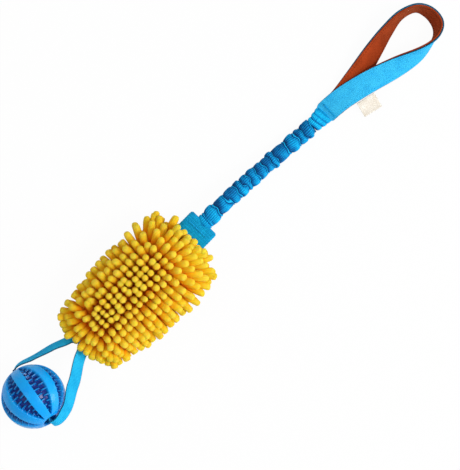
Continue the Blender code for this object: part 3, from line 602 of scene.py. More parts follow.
def pillow(u, v, inset=0.0):
    """Upper half of the pillow: a crown that falls to the rim by powers of both shares.

    z is the crown times the root of (1 - along^4)(1 - across^2.6), and the middle of the
    far end is drawn out flat into the neck. inset is a depth under the outer face.
    """
    along = level_share(u, PITCH_ALONG_SHARE)
    across = level_share(v, PITCH_ACROSS_SHARE)
    x = (PAD_HALF_LENGTH - inset) * along * (1 - 0.05 * v ** 4)
    y = (PAD_HALF_WIDTH - inset) * across * (1 - 0.08 * u ** 4)
    side = 1 - np.minimum(np.abs(along), 1) ** PAD_END_POWER
    side = side * (1 - np.minimum(np.abs(across), 1) ** PAD_SIDE_POWER)
    z = (PAD_CROWN - inset) * np.sqrt(np.maximum(side, 0)) + RIM_HALF_GAP
    x = x + NECK_REACH * neck_share(v) * smooth((u - 0.1) / 0.9)
    flat = tongue_share(u, v)
    z = z * (1 - flat) + (TONGUE_HALF - min(inset, PANEL_THICKNESS)) * flat
    z = z + strap_lift(u, y)
    return np.stack(np.broadcast_arrays(x, y, z), -1)


def pillow_normal(u, v):
    """Outward direction of the pillow, from its steps along and across."""
    step = 0.02
    along = pillow(np.minimum(u + step, 1), v) - pillow(np.maximum(u - step, -1), v)
    across = pillow(u, np.minimum(v + step, 1)) - pillow(u, np.maximum(v - step, -1))
    return unit(np.cross(along, across))


def panel_skin(rows=60, columns=40):
    """One fabric panel as a closed skin: the outer face out to the rim and the inner one back."""
    u = np.linspace(-1, 1, rows)[:, None]
    v = np.linspace(-1, 1, columns)[None]
    outer = pillow(u, v)
    inner = pillow(u, v[:, ::-1], PANEL_THICKNESS * 0.8)
    inner[..., 2] = np.minimum(inner[..., 2], outer[:, ::-1, 2] - 0.05 * MM)
    ring = np.concatenate([outer, inner], 1)
    index = quads(rows, 2 * columns, False, True)[0]
    ends = np.arange(2 * columns)
    return ring.reshape(-1, 3), [index, ends[None], ((rows - 1) * 2 * columns + ends[::-1])[None]]


def noodle_places(rng):
    """Roots of the noodles: rows and columns evenly spaced as seen from above, all nudged.

    A root's place along the pad becomes the pillow's share u by repeated correction, and
    roots that would lie past the rim are left out.
    """
    rows = np.linspace(BAND_START - 3 * MM, -0.985 * PAD_HALF_LENGTH, NOODLE_ROWS)
    pitch = rows[0] - rows[1]
    columns = np.linspace(-0.985, 0.985, NOODLE_COLUMNS)
    x, across = (grid.ravel() for grid in np.meshgrid(rows, columns, indexing="ij"))
    x = x + rng.normal(0, 0.07, x.shape) * pitch
    across = across + rng.normal(0, 0.07, x.shape) * (columns[1] - columns[0])
    share = np.linspace(-1, 1, 801)
    v = np.interp(across, level_share(share, PITCH_ACROSS_SHARE), share)
    u = x / PAD_HALF_LENGTH
    for _ in range(30):
        u = np.clip(u + 0.6 * (x - pillow(u, v)[:, 0]) / PAD_HALF_LENGTH, -1, 1)
    keep = np.abs(x - pillow(u, v)[:, 0]) < 0.4 * pitch
    return u[keep], v[keep]


def tuft_share(roots):
    """1 at the tuft where thinner noodles draw together, falling off as a bell round it."""
    return np.exp(-np.sum((roots[:, :2] - np.array(TUFT)) ** 2, 1) / TUFT_REACH ** 2)


def noodle_directions(u, v, roots, rng):
    """Directions that stand up on the spine and lean away from it, flattest at the rim.

    The lean's angle is its largest value times a power of (distance from the spine /
    distance to the rim), and less where the neck or the strap needs room. In front of the neck
    band they lean forward only so far that their tips end in one line on it.
    """
    first, last = np.array(SPINE_START), np.array(SPINE_END)
    place = roots[:, :2]
    share = np.clip((place - first) @ (last - first) / np.sum((last - first) ** 2), 0, 1)
    away = place - (first + share[:, None] * (last - first))
    distance = np.linalg.norm(away, axis=1)
    way = away / np.maximum(distance, 1e-6)[:, None]
    to_rim = SPINE_TO_RIM + SPINE_TO_RIM_SHIFT * (way[:, 0] - way[:, 1])
    at_strap = smooth(2 - np.abs(roots[:, 1] - STRAP_PIVOT[1]) / TAIL_HALF_WIDTH) * (u < -0.85)
    room = 1 - np.maximum(0.34 * tongue_share(u, v), 0.12 * at_strap)
    lean = NOODLE_LEAN * np.clip(distance / to_rim, 0, 1) ** NOODLE_LEAN_POWER * room
    x, y = roots[:, 0] / PAD_HALF_LENGTH, roots[:, 1] / PAD_HALF_WIDTH
    drift = np.stack([np.sin(3.1 * x + 1.4 * y + 0.6), np.sin(2.7 * x - 1.9 * y + 2.0), 0 * x], 1)
    sway = way * np.sin(lean)[:, None]
    beside_band = smooth((np.abs(roots[:, 1]) - 15 * MM) / (8 * MM))
    most = np.minimum((NOODLES_OVER_BAND_TO - roots[:, 0]) / NOODLE_LENGTH, 0.78)
    sway[:, 0] = np.where(u > 0.5, np.minimum(sway[:, 0], most + 0.5 * beside_band), sway[:, 0])
    standing = np.sqrt(1 - np.sum(sway ** 2, 1))
    to_tuft = np.array(TUFT) - place
    drawn = 0.28 * tuft_share(roots) * smooth((u + 0.85) / 0.2)
    sway = sway + to_tuft / NOODLE_LENGTH * drawn[:, None]
    level = np.stack([sway[:, 0], sway[:, 1], standing], 1)
    return unit(level + 0.05 * drift + rng.normal(0, 0.03, roots.shape))


def grow_noodles(rng):
    """Rounded fingers on the pillow: rings of a profile round a line that bends as it hangs.

    A finger's line is root + direction * length * t + bend * t squared; its rings shrink to
    a half round at the tip, and root and tip are closed.
    """
    u, v = noodle_places(rng)
    count = len(u)
    roots = pillow(u, v) - pillow_normal(u, v) * 1.2 * MM
    direction = noodle_directions(u, v, roots, rng)
    level = 1 - direction[:, 2] ** 2
    forward = smooth(u / 0.9) * (0.06 + 0.18 * smooth(np.abs(v) / 0.6))
    back = 0.02 + 0.28 * smooth(np.abs(v) / 0.7) + 0.14 * smooth(-v / 0.7)
    forward = forward - smooth(-u / 0.9) * back
    length = NOODLE_LENGTH * (1 + (0.10 + forward) * level) * (1 + rng.normal(0, 0.05, count))
    bend = -UP * (NOODLE_DROOP * level)[:, None] + rng.normal(0, 0.8 * MM, (count, 3))
    radius = NOODLE_RADIUS * (0.88 + 0.07 * smooth(level / 0.3)) * (1 + rng.normal(0, 0.04, count))
    radius = radius * (1 - 0.22 * tuft_share(roots))
    t = np.array(NOODLE_STATION_SHARES)
    line = roots[:, None] + direction[:, None] * (length[:, None] * t)[..., None]
    line = line + bend[:, None] * (t * t)[:, None]
    first = unit(np.cross(direction, np.array([0.3, 0.3, 1.0])))
    second = np.cross(direction, first)
    angle = TURN * np.arange(NOODLE_SIDES) / NOODLE_SIDES
    round_part = first[:, None] * np.cos(angle)[:, None] + second[:, None] * np.sin(angle)[:, None]
    sizes = radius[:, None] * np.array(NOODLE_RADIUS_SHARES)
    sizes = sizes[..., None] * (1 + rng.normal(0, 0.035, (count, len(t), NOODLE_SIDES)))
    rings = line[:, :, None] + round_part[:, None] * sizes[..., None]
    tips = roots + direction * length[:, None] + bend
    stations = len(t)
    each = stations * NOODLE_SIDES + 1
    points = np.concatenate([rings.reshape(count, -1, 3), tips[:, None]], 1)
    base = (np.arange(count) * each)[:, None, None]
    index = quads(stations, NOODLE_SIDES, False, True)[0]
    walls = (base + index[:, ::-1]).reshape(-1, 4)
    last = (stations - 1) * NOODLE_SIDES + np.arange(NOODLE_SIDES)
    cone = np.stack([last, np.roll(last, -1), np.full(NOODLE_SIDES, each - 1)], 1)
    cones = (base + cone).reshape(-1, 3)
    feet = (np.arange(count) * each)[:, None] + np.arange(NOODLE_SIDES)[::-1]
    # depth drives the chenille's painted shade: 0 at a noodle's root, 1 at its tip.
    depth = np.concatenate([np.repeat(t, NOODLE_SIDES), [1.0]])
    depth = np.broadcast_to(depth, (count, each)).ravel()
    shade = np.repeat(rng.random(count), each)
    return points.reshape(-1, 3), [walls, cones, feet], depth, shade


def pad_panel(name, upper, seed, material):
    """A panel's skin and its noodles in one piece; the lower one is the upper one turned over."""
    rng = np.random.default_rng(seed)
    skin, skin_faces = panel_skin()
    pile, pile_faces, depth, shade = grow_noodles(rng)
    if signed_volume(skin, skin_faces) < 0:
        skin_faces = [f[:, ::-1] for f in skin_faces]
    if signed_volume(pile - pile.mean(0), pile_faces) < 0:
        pile_faces = [f[:, ::-1] for f in pile_faces]
    points = np.concatenate([skin, pile])
    faces = skin_faces + [f + len(skin) for f in pile_faces]
    if not upper:
        points[:, 2] *= -1
        faces = [f[:, ::-1] for f in faces]
    points[:, 2] = np.maximum(points[:, 2] + PAD_MID, 0)
    # The panel's skin gets depth 0, the darkest painted shade.
    values = {
        "depth": np.concatenate([np.zeros(len(skin)), depth]),
        "shade": np.concatenate([np.full(len(skin), 0.5), shade]),
    }
    obj = add_mesh(name, points, faces, material, None, values)
    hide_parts(name.replace("chenille", "panel"))
    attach(obj, "pad")
    return obj


# Neck band
def neck_band(material):
    """Webbing wrapped round the neck: a rounded flat outline, walled, with soft edges.

    The wall's loop (along, depth) is carried round the outline, each point moved in by its
    depth. The outer face is lowest along its two edges, where it grips the cloth.
    """
    outline, outward, around = even_outline(BAND_HALF_WIDTH, BAND_HALF_HEIGHT, BAND_POWER, 120)
    share = np.linspace(0, 1, 80)
    length = BAND_END - BAND_START
    edge = np.minimum(share, 1 - share) * length
    outer = 2.0 * MM * (1 - np.clip(edge / (3.0 * MM), 0, 1)) ** 2
    outer = outer + 0.14 * MM * np.cos(share * 9 * TURN)
    x = np.concatenate([share, share[::-1]])
    depth = np.concatenate([outer, np.full(len(share), BAND_WALL)])[:, None, None]
    flat = outline - outward * depth
    along = np.broadcast_to((BAND_START + x * length)[:, None], flat.shape[:2])
    points = np.stack([along, flat[..., 0], flat[..., 1] + PAD_MID], -1)
    round_it = np.broadcast_to(around, (len(x) + 1, len(around)))
    length_of_it = np.broadcast_to(np.append(x, x[0])[:, None] * length, round_it.shape)
    uv = np.stack([round_it, length_of_it], -1)
    obj = surface("neck_wrap", points, material, uv, (True, True))
    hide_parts("neck_band")
    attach(obj, "pad")
    return obj


# Bungee
def sleeve_middle(share):
    """Middle line: it sinks from the neck to the table and drifts to one side."""
    x = SLEEVE_START + (SLEEVE_END - SLEEVE_START) * share
    y = -SLEEVE_DRIFT * np.maximum(share, 0) ** 1.5
    fall = smooth(share)
    z = PAD_MID * (1 - fall) + (SLEEVE_HALF_HEIGHT + SLEEVE_TABLE_GAP) * fall
    return np.stack([x, y, z], -1)


def path_frame(middle):
    """Width direction and normal along a path that stays roughly level."""
    ahead = unit(np.gradient(middle, axis=0))
    across = unit(np.cross(UP, ahead))
    return ahead, across, np.cross(ahead, across)


def fold_puff(part):
    """How full a fold of cloth is at each part of its length: it fills slowly and ends in a
    steep crease, as part^0.55 (1 - part)^0.35 over its largest value."""
    return np.maximum(part, 0) ** 0.55 * np.maximum(1 - part, 0) ** 0.35 / 0.548


def tube_uv(along, angle):
    """UV map of a tube: its length, and the place round it at its middle size."""
    u = np.broadcast_to(along, (along.shape[0], angle.shape[1] + 1))
    around = np.append(angle[0], TURN) * (SLEEVE_HALF_WIDTH + SLEEVE_HALF_HEIGHT) / 2
    return np.stack([u, np.broadcast_to(around, u.shape)], -1)


def bungee_sleeve(material):
    """Gathered tube: between irregular creases the cloth puffs out as a row of lopsided arcs,
    each with a thin lip of folded cloth at its steep end.

    The place along the tube is warped by a slant for each crease, times the cosine of the
    angle round the tube, and read as a fold number with its fraction. Ribs run along the
    tube as a cosine of the angle, higher where the cloth is full.
    """
    rng = np.random.default_rng(5)
    rows, columns = 460, 120
    creases = np.cumsum(np.concatenate([[0], rng.uniform(0.55, 1.45, FOLD_COUNT)]))
    creases /= creases[-1]
    slants = rng.normal(0, 0.012, FOLD_COUNT + 1)
    turns = rng.uniform(0, TURN, FOLD_COUNT + 1)
    fullness = rng.uniform(0.5, 1.0, FOLD_COUNT + 1)
    tone = rng.uniform(0.65, 1.0, FOLD_COUNT + 1)
    side_shade_amount = rng.uniform(0.3, 1.0, FOLD_COUNT + 1)
    share = np.linspace(0, 1, rows)[:, None]
    angle = (TURN * np.arange(columns) / columns)[None]
    slant, turn = np.interp(share, creases, slants), np.interp(share, creases, turns)
    ripple = 0.005 * np.sin(3 * angle + 40 * share) + 0.003 * np.sin(5 * angle - 60 * share)
    warped = np.clip(share - slant * np.cos(angle - turn) - ripple, 0, 1)
    fold = np.interp(warped, creases, np.arange(FOLD_COUNT + 1.0))
    number = np.clip(fold.astype(int), 0, FOLD_COUNT - 1)
    part = fold - number
    main = np.clip(part / 0.84, 0, 1)
    puff = fold_puff(main) * fullness[number]
    lip = np.exp(-(((part - 0.92) / 0.045) ** 2))
    size = CREASE_SIZE_SHARE + PUFF_SIZE_SHARE * puff + LIP_SIZE_SHARE * lip
    size = size + 0.03 * np.sin(angle * 2 + share * 31)
    ribs = RIB_HEIGHT * np.cos(RIB_COUNT * angle + 3 * np.sin(share * 19)) * (0.35 + 0.65 * puff)
    middle = sleeve_middle(share[:, 0])
    ahead, across, normal = path_frame(middle)
    out_y = (SLEEVE_HALF_WIDTH * size + ribs) * np.cos(angle)
    out_z = (SLEEVE_HALF_HEIGHT * size + ribs) * np.sin(angle)
    points = middle[:, None] + across[:, None] * out_y[..., None]
    points = points + normal[:, None] * out_z[..., None]
    points[..., 2] = np.maximum(points[..., 2], 0.1 * MM)
    # Painted shade: each fold is darker on the side of the tube round angle 0.7, by a random amount
    # for each fold; it is lighter towards its steep end and brightest on its lip.
    painted_side_shade = tone[number] * (1 - 0.45 * np.clip(np.cos(angle - 0.7), 0, 1) * side_shade_amount[number])
    shade = fold_puff(main) * (0.45 + 0.55 * part) * painted_side_shade + 0.9 * lip
    uv = tube_uv(share * (SLEEVE_END - SLEEVE_START), angle)
    values = {"puff": shade, "rib": 0.5 + ribs / RIB_HEIGHT / 2}
    obj = surface("gathered_sleeve", points, material, uv, (False, True), True, values)
    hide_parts("bungee_sleeve")
    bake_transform(obj)
    return obj


def root_gather(material):
    """Gathered root of the tubing between the neck band and the sleeve's first fold.

    Each ring is an ellipse with ribs, cosines of the angle round it, and its size swells
    between the band and the sleeve as a half sine of the place along it.
    """
    rows, columns = 60, 120
    first, last = BAND_END - ROOT_GATHER_LAP, SLEEVE_START + ROOT_GATHER_LAP
    share = np.linspace(0, 1, rows)[:, None]
    angle = (TURN * np.arange(columns) / columns)[None]
    swell = np.sin(math.pi * share) ** 0.6
    crease = np.exp(-((share - 0.56 - 0.05 * np.cos(angle)) / 0.05) ** 2)
    size = 0.74 + 0.24 * swell - 0.12 * crease + 0.035 * np.cos(5 * angle + 2.0) * swell
    ribs = RIB_HEIGHT * np.cos(RIB_COUNT * angle + 0.6) * swell
    y = (SLEEVE_HALF_WIDTH * size + ribs) * np.cos(angle)
    z = (SLEEVE_HALF_HEIGHT * size + ribs) * np.sin(angle) + PAD_MID
    x = first + (last - first) * share
    points = np.stack([x + 0 * y, y, z], -1)
    # Painted light and shade: the colour value is lighter where the gather swells and darker in its
    # crease.
    values = {"puff": 0.15 + 0.5 * swell - 0.4 * crease, "rib": 0.5 + ribs / RIB_HEIGHT / 2}
    obj = surface("root_gather", points, material, tube_uv(x, angle), (False, True), True, values)
    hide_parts("bungee_root_tab")
    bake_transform(obj)
    return obj


def elastic_core(material):
    """Flat elastic inside the sleeve, along its middle line."""
    share = np.linspace(0, 1, 80)
    middle = sleeve_middle(share)
    ahead, across, normal = path_frame(middle)
    section = band_section(9 * MM, 4 * MM, 24)
    obj = swept("elastic_band", (middle, across, normal), section, material)
    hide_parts("elastic_core")
    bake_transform(obj)
    return obj


def end_cuff(material):
    """Sewn end of the tube: an oval that flattens and widens until it laps the handle's root.

    Three slanted folds, each with the sleeve's lopsided arc, fade out towards the handle,
    and the last few millimetres close in as a quarter round on the webbing.
    """
    rows, columns = 150, 120
    share = np.linspace(0, 1, rows)[:, None]
    angle = (TURN * np.arange(columns) / columns)[None]
    first, last = CUFF_START, HANDLE_ROOT + CUFF_LAP
    x = first + (last - first) * share
    flat = smooth(share * 1.1)
    fold = np.clip(share * 3.2 + 0.12 * np.cos(angle - 1.0) + 0.10 * np.sin(2 * angle), 0, 3.2)
    part = fold % 1
    puff = fold_puff(part)
    size = 1 - 0.20 * (1 - puff) * (1 - 0.6 * flat)
    size = size * np.sqrt(np.clip(1 - (np.maximum(share - 0.94, 0) / 0.065) ** 2, 0.3, 1))
    ribs = RIB_HEIGHT * np.cos(RIB_COUNT * angle) * (1 - 0.7 * flat) * puff
    half_width = SLEEVE_HALF_WIDTH * 0.9 * (1 - flat) + (ROOT_WIDTH / 2 + 0.5 * MM) * flat
    half_width = half_width * size + ribs
    half_height = (SLEEVE_HALF_HEIGHT * 0.9 * (1 - flat) + 2.6 * MM * flat) * size + ribs
    power = 2 / (2 + 1.2 * flat)
    y = half_width * np.sign(np.cos(angle)) * np.abs(np.cos(angle)) ** power
    z = half_height * np.sign(np.sin(angle)) * np.abs(np.sin(angle)) ** power
    low = (SLEEVE_HALF_HEIGHT + SLEEVE_TABLE_GAP) * (1 - flat) + HANDLE_PIVOT[2] * flat
    points = np.stack([x + 0 * y, y - SLEEVE_DRIFT, np.maximum(z + low, 0.05 * MM)], -1)
    # Painted light and shade: lighter towards each fold's steep end and darker in its creases, as
    # on the sleeve.
    shade = puff * (0.5 + 0.5 * part) * (1 - flat) + flat * (0.36 + 0.36 * puff)
    values = {"puff": shade, "rib": 0.5 + ribs / RIB_HEIGHT / 2}
    obj = surface("sewn_cuff", points, material, tube_uv(x, angle), (False, True), True, values)
    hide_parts("sleeve_end_cuff")
    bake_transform(obj)
    return obj


# Handle
def rest_height(roll):
    """Height of the ribbon's middle when its lowest edge touches the table."""
    skin = LAYER_GAP / 2 + (WEBBING_THICKNESS if roll > 0 else LINING_THICKNESS)
    turned = math.radians(abs(roll))
    return WEBBING_WIDTH / 2 * math.cos(turned) + skin * math.sin(turned)


def handle_route():
    """Rows of x, y, z and roll for the loop's middle line."""
    rows = []
    for along, across, roll, lift in HANDLE_ROUTE_SHARES:
        x = HANDLE_ROOT + HANDLE_LENGTH * along
        y = -SLEEVE_DRIFT + HANDLE_LENGTH * across
        rows.append((x, y, rest_height(roll) + LEG_STACK * lift, math.radians(roll)))
    route = np.array(rows)
    route[[0, 1, -2, -1], 2] = HANDLE_PIVOT[2]
    return route


def spline(values, shares):
    """Catmull-Rom curve through evenly counted rows of values."""
    count = len(values) - 1
    ends = 2 * values[:1] - values[1:2], 2 * values[-1:] - values[-2:-1]
    padded = np.concatenate([ends[0], values, ends[1]])
    place = np.clip(shares, 0, 1) * count
    i = np.minimum(place.astype(int), count - 1)
    t = (place - i)[:, None]
    p0, p1, p2, p3 = (padded[i + k] for k in range(4))
    bend = (p0 * 2 - p1 * 5 + p2 * 4 - p3) * t ** 2 + (p1 * 3 - p0 - p2 * 3 + p3) * t ** 3
    return (p1 * 2 + (p2 - p0) * t + bend) / 2


def handle_path(shares):
    """Middle, width direction and inner normal of the loop at an array of shares."""
    route = handle_route()
    step = 0.002
    here = spline(route, shares)
    ahead = unit(spline(route, shares + step)[:, :3] - spline(route, shares - step)[:, :3])
    roll = here[:, 3:]
    inside = unit(np.stack([ahead[:, 1], -ahead[:, 0], 0 * ahead[:, 0]], 1))
    across = -inside * np.sin(roll) + UP * np.cos(roll)
    normal = unit(np.cross(ahead, across))
    return here[:, :3], unit(np.cross(normal, ahead)), normal


def handle_layer(name, node, width, thickness, side, first, material):
    """One layer of the loop, which narrows where it goes under the cuff's stitching."""
    shares = np.linspace(first, 1 - first, 400)
    middle, across, normal = handle_path(shares)
    edge = np.minimum(shares, 1 - shares)
    narrow = ROOT_WIDTH + (WEBBING_WIDTH - ROOT_WIDTH) * smooth(edge / 0.06)
    section = band_section(width, thickness, 48)
    sections = np.repeat(section[None], len(shares), 0)
    sections[..., 0] *= (narrow / WEBBING_WIDTH)[:, None]
    offset = side * (LAYER_GAP / 2 + thickness / 2)
    path = (middle + normal * offset, across, normal)
    obj = swept(name, path, sections, material)
    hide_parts(node)
    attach(obj, "handle")
    return obj


def handle_label(material):
    """Folded ribbon at the handle's edge: two leaves joined at the fold, with a slight curl.

    Each ring runs round the folded strip; the strip leaves the handle's edge, droops and
    lifts again at its outer end.
    """
    middle, across, normal = (row[0] for row in handle_path(np.array([LABEL_SHARE])))
    ahead = np.cross(across, normal)
    low, high = boxes["handle_tag"]
    out = unit(-across * math.cos(LABEL_TILT) - UP * math.sin(LABEL_TILT))
    centre = (low + high) / 2 - ahead * LABEL_SHIFT
    face = unit(np.cross(ahead, out))
    rows = 40
    reach = np.linspace(-LABEL_LENGTH / 2, LABEL_LENGTH / 2, rows) + 1.6 * MM
    curl = 0.5 * MM * np.sin((reach / LABEL_LENGTH * 2 + 1) * math.pi * 0.9)
    line = centre + out * reach[:, None] + face * curl[:, None]
    directions = np.repeat(ahead[None], rows, 0), np.repeat(face[None], rows, 0)
    section = band_section(LABEL_WIDTH, 0.9 * MM, 40)
    obj = swept("bare_label", (line, *directions), section, material)
    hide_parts("handle_tag")
    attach(obj, "handle")
    return obj


# Ball
def ball_frame():
    """Two directions square to the bore, and the bore's axis."""
    z = unit(BALL_AXIS)
    start = unit(np.cross(UP, z))
    return start, np.cross(z, start), z


def groove_masks(longitude, latitude):
    """Depth and painted shade of the grooves, from 0 on the lands to 1 on a groove's floor.

    Each groove is a lens between two meridians. Thin teeth lower than the land stand on
    both of its sides, one side's set between the other's.
    """
    share = (latitude / math.radians(GROOVE_END_LATITUDE) + 1) / 2
    held = np.clip(share, 0, 1)
    lens = 0.12 + 0.88 * np.cos(math.pi / 2 * (2 * held - 1)) ** 0.8
    half = math.radians(GROOVE_HALF_ANGLE) * lens / np.sqrt(np.maximum(np.cos(latitude), 0.5))
    step = TURN / GROOVE_COUNT
    offset = (longitude - math.radians(GROOVE_PHASE_DEGREES) + step / 2) % step - step / 2
    across = offset / half
    lens_mask = smooth((1 - np.abs(across)) * half / 0.035)
    lens_mask = lens_mask * smooth(np.minimum(held, 1 - held) / 0.02)
    lens_mask = np.where((share > 0) & (share < 1), lens_mask, 0)
    teeth = 0
    for side, start in ((-1, 0.0), (1, 0.5)):
        phase = (held * GROOVE_TEETH + start) % 1
        thin = smooth((TOOTH_SHARE / 2 - np.abs(phase - 0.5)) / 0.10 + 0.5)
        reach = smooth((across * side - 0.02) / 0.20 + 0.5)
        teeth = np.maximum(teeth, thin * reach * (0.45 + 0.30 * np.clip(across * side, 0, 1)))
    # The second value is painted shade: on the teeth it is only slight.
    return lens_mask * (1 - teeth), lens_mask * (1 - 0.85 * teeth)


def treat_ball(material):
    """Sphere cut by toothed grooves and a bore: rows of a profile turned about the bore.

    The profile runs from mouth to mouth over the sphere and back through the bore; on the
    sphere the radius is less by the groove's depth times its mask.
    """
    columns = 360
    longitude = (TURN * np.arange(columns) / columns)[None]
    mouth = math.asin((BORE_RADIUS + MOUTH_WIDTH) / BALL_RADIUS)
    latitude = np.linspace(math.pi / 2 - mouth, mouth - math.pi / 2, 250)[:, None]
    mask, dark = groove_masks(longitude, latitude)
    radius = BALL_RADIUS - GROOVE_DEPTH * mask
    ring = radius * np.cos(latitude)
    height = radius * np.sin(latitude)
    lip = BALL_RADIUS * math.cos(mouth)
    turned = np.linspace(0, math.pi / 2, 6)[1:]
    mouth_ring = BORE_RADIUS + MOUTH_WIDTH * (1 - np.sin(turned))
    mouth_height = lip - MOUTH_WIDTH * (1 - np.cos(turned))
    bore_ring = np.concatenate([mouth_ring, mouth_ring[::-1]])[:, None]
    bore_height = np.concatenate([-mouth_height, mouth_height[::-1]])[:, None]
    ring = np.concatenate([ring, np.broadcast_to(bore_ring, (len(bore_ring), columns))])
    height = np.concatenate([height, np.broadcast_to(bore_height, (len(bore_height), columns))])
    first, second, axis = ball_frame()
    around = first * np.cos(longitude)[..., None] + second * np.sin(longitude)[..., None]
    points = BALL_CENTRE + around * ring[..., None] + axis * height[..., None]
    # Painted shade in the grooves, and a fixed painted shade inside the bore.
    sunk = np.zeros(ring.shape)
    sunk[: len(mask)] = dark
    sunk[len(mask) :] = 0.6
    obj = surface("toothed_ball", points, material, None, (True, True), False, {"sunk": sunk})
    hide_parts("treat_ball")
    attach(obj, "ball")
    return obj


# Ball strap
def strap_nodes():
    """Route of the strap: places, directions and rolls from the pad through the bore and back."""
    axis = unit(BALL_AXIS)
    near = BALL_CENTRE + axis * (BALL_RADIUS + STRAP_TURN_OUT)
    far = BALL_CENTRE - axis * (BALL_RADIUS + STRAP_TURN_OUT_FAR)
    nose = STRAP_THICKNESS + 0.15 * MM
    root = STRAP_PIVOT + np.array([-nose - 0.3 * MM, 0, 0])
    lift = (STRAP_THICKNESS + 0.3 * MM) / 2
    near_root = root + np.array([0, -STRAP_SPLAY, lift])
    far_root = root + np.array([0, STRAP_SPLAY, -lift])
    near_leg, far_leg = unit(near - near_root), unit(far_root - far)
    back = np.array([-1.0, 0, 0])
    half = BALL_RADIUS

    def between(first, second, share):
        return first + (second - first) * share

    return (
        (near_root, back, 0),
        (between(near_root, near, 0.14), unit(near_leg + back * 0.2), 30),
        (between(near_root, near, 0.5) + NEAR_BOWS[0], unit(near_leg + NEAR_TURNS[0]), 22),
        (between(near_root, near, 0.8) + NEAR_BOWS[1], unit(near_leg + NEAR_TURNS[1]), 40),
        (near - axis * STRAP_THICKNESS * 0.5, unit(near_leg - axis), 58),
        (BALL_CENTRE + axis * half * 0.9, -axis, 70),
        (BALL_CENTRE + axis * half * 0.45, -axis, 70),
        (BALL_CENTRE - axis * half * 0.45, -axis, 76),
        (BALL_CENTRE - axis * half * 0.9, -axis, 84),
        (far + axis * STRAP_THICKNESS * 0.5, unit(far_leg - axis), 96),
        (between(far, far_root, 0.3) + FAR_BOWS[0], far_leg, 109),
        (between(far, far_root, 0.6) + FAR_BOWS[1], far_leg, 119),
        (between(far, far_root, 0.86), unit(far_leg - back * 0.2), 126),
        (far_root, -back, 180),
    )


def strap_path(shares):
    """Hermite curve through the strap's nodes, with the width turned level by the roll."""
    nodes = strap_nodes()
    places = np.array([n[0] for n in nodes])
    aims = np.array([n[1] for n in nodes])
    rolls = np.array([n[2] for n in nodes], float)
    count = len(nodes) - 1

    def point(place):
        place = np.clip(place, 0, count)
        i = np.minimum(place.astype(int), count - 1)
        t = (place - i)[:, None]
        a, d = places[i], places[i + 1]
        reach = np.linalg.norm(d - a, axis=1, keepdims=True)
        b, c = a + aims[i] * reach / 3, d - aims[i + 1] * reach / 3
        left = a * (1 - t) ** 3 + b * 3 * (1 - t) ** 2 * t
        return left + c * 3 * (1 - t) * t * t + d * t ** 3

    place = shares * count
    middle = point(place)
    ahead = unit(point(place + 0.004) - point(place - 0.004))
    i = np.minimum(place.astype(int), count - 1)
    roll = np.radians(rolls[i] + (rolls[i + 1] - rolls[i]) * smooth(place - i))
    level = np.stack([0 * roll, np.cos(roll), np.sin(roll)], 1)
    across = unit(level - ahead * np.sum(ahead * level, 1, keepdims=True))
    return middle, across, np.cross(ahead, across)


def ball_strap(material):
    """Narrow webbing through the ball's bore."""
    path = strap_path(np.linspace(0, 1, 520))
    obj = swept("strap_loop", path, band_section(STRAP_WIDTH, STRAP_THICKNESS, 32), material)
    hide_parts("ball_strap")
    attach(obj, "strap")
    return obj


# Stitches
def stitches(name, places, ahead, out, length, radius, material, slot, body):
    """Rows of thread: each stitch is a thin tube that arches out of the cloth and back in."""
    count = len(places)
    t = np.linspace(-1, 1, STITCH_RINGS)
    arch = (1 - t * t) * radius * 1.2
    size = radius * np.array([0.5, 1, 1, 1, 0.5])
    line = places[:, None] + ahead[:, None] * (t * length / 2)[:, None]
    line = line + out[:, None] * arch[:, None]
    side = unit(np.cross(ahead, out))
    angle = TURN * np.arange(STITCH_SIDES) / STITCH_SIDES
    round_part = side[:, None] * np.cos(angle)[:, None]
    round_part = round_part + out[:, None] * np.sin(angle)[:, None]
    points = line[:, :, None] + round_part[:, None] * size[:, None, None]
    each = STITCH_RINGS * STITCH_SIDES
    base = (np.arange(count) * each)[:, None, None]
    index = quads(STITCH_RINGS, STITCH_SIDES, False, True)[0]
    first_end = np.arange(STITCH_SIDES)
    last_end = each - STITCH_SIDES + first_end[::-1]
    faces = [(base + index).reshape(-1, 4), base[:, 0] + first_end, base[:, 0] + last_end]
    flat = points.reshape(-1, 3)
    one = flat[:each] - flat[:each].mean(0)
    if signed_volume(one, [index, first_end[None], last_end[None]]) < 0:
        faces = [f[:, ::-1] for f in faces]
    obj = add_mesh(name, flat, faces, material)
    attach(obj, body)
    return obj


def zigzag(centre, ahead, across, out, width, height, count):
    """Places and directions of a bar tack's stitches, which slant to and fro across the bar."""
    steps = (np.arange(count) + 0.5) / count - 0.5
    places = centre + across * (steps * width)[:, None]
    lean = np.where(np.arange(count) % 2, 1, -1)[:, None] * (width / count) / height
    return places, unit(ahead + across * lean), np.repeat(out[None], count, 0)


def bar_tack(node, body, ahead, across, out, width, material):
    """A bar tack's thread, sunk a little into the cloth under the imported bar."""
    low, high = boxes[node]
    centre = (low + high) / 2 - out * 0.4 * MM
    rows = zigzag(centre, ahead, across, out, width, TACK_SIZE, TACK_STITCHES)
    obj = stitches(
        node + "_thread", *rows, TACK_SIZE, TACK_THREAD_RADIUS, material, "thread", body
    )
    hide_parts(node)
    return obj


def handle_stitching(thread, dark_thread):
    """A row of stitches along each edge of the loop: on the webbing, and on the lining."""
    shares = np.linspace(0.125, 0.875, 118)
    middle, across, normal = handle_path(shares)
    ahead = np.cross(across, normal)
    outer = -normal, LAYER_GAP / 2 + WEBBING_THICKNESS - 0.15 * MM, thread, "webbing"
    inner = normal, LAYER_GAP / 2 + LINING_THICKNESS - 0.15 * MM, dark_thread, "lining"
    for out, height, material, layer in (outer, inner):
        for edge, side in ((-1, "low"), (1, "high")):
            places = middle + across * edge * STITCH_INSET + out * height
            name = layer + "_stitches_" + side
            stitches(
                name, places, ahead, out, STITCH_LENGTH, STITCH_RADIUS, material, "thread", "handle"
            )


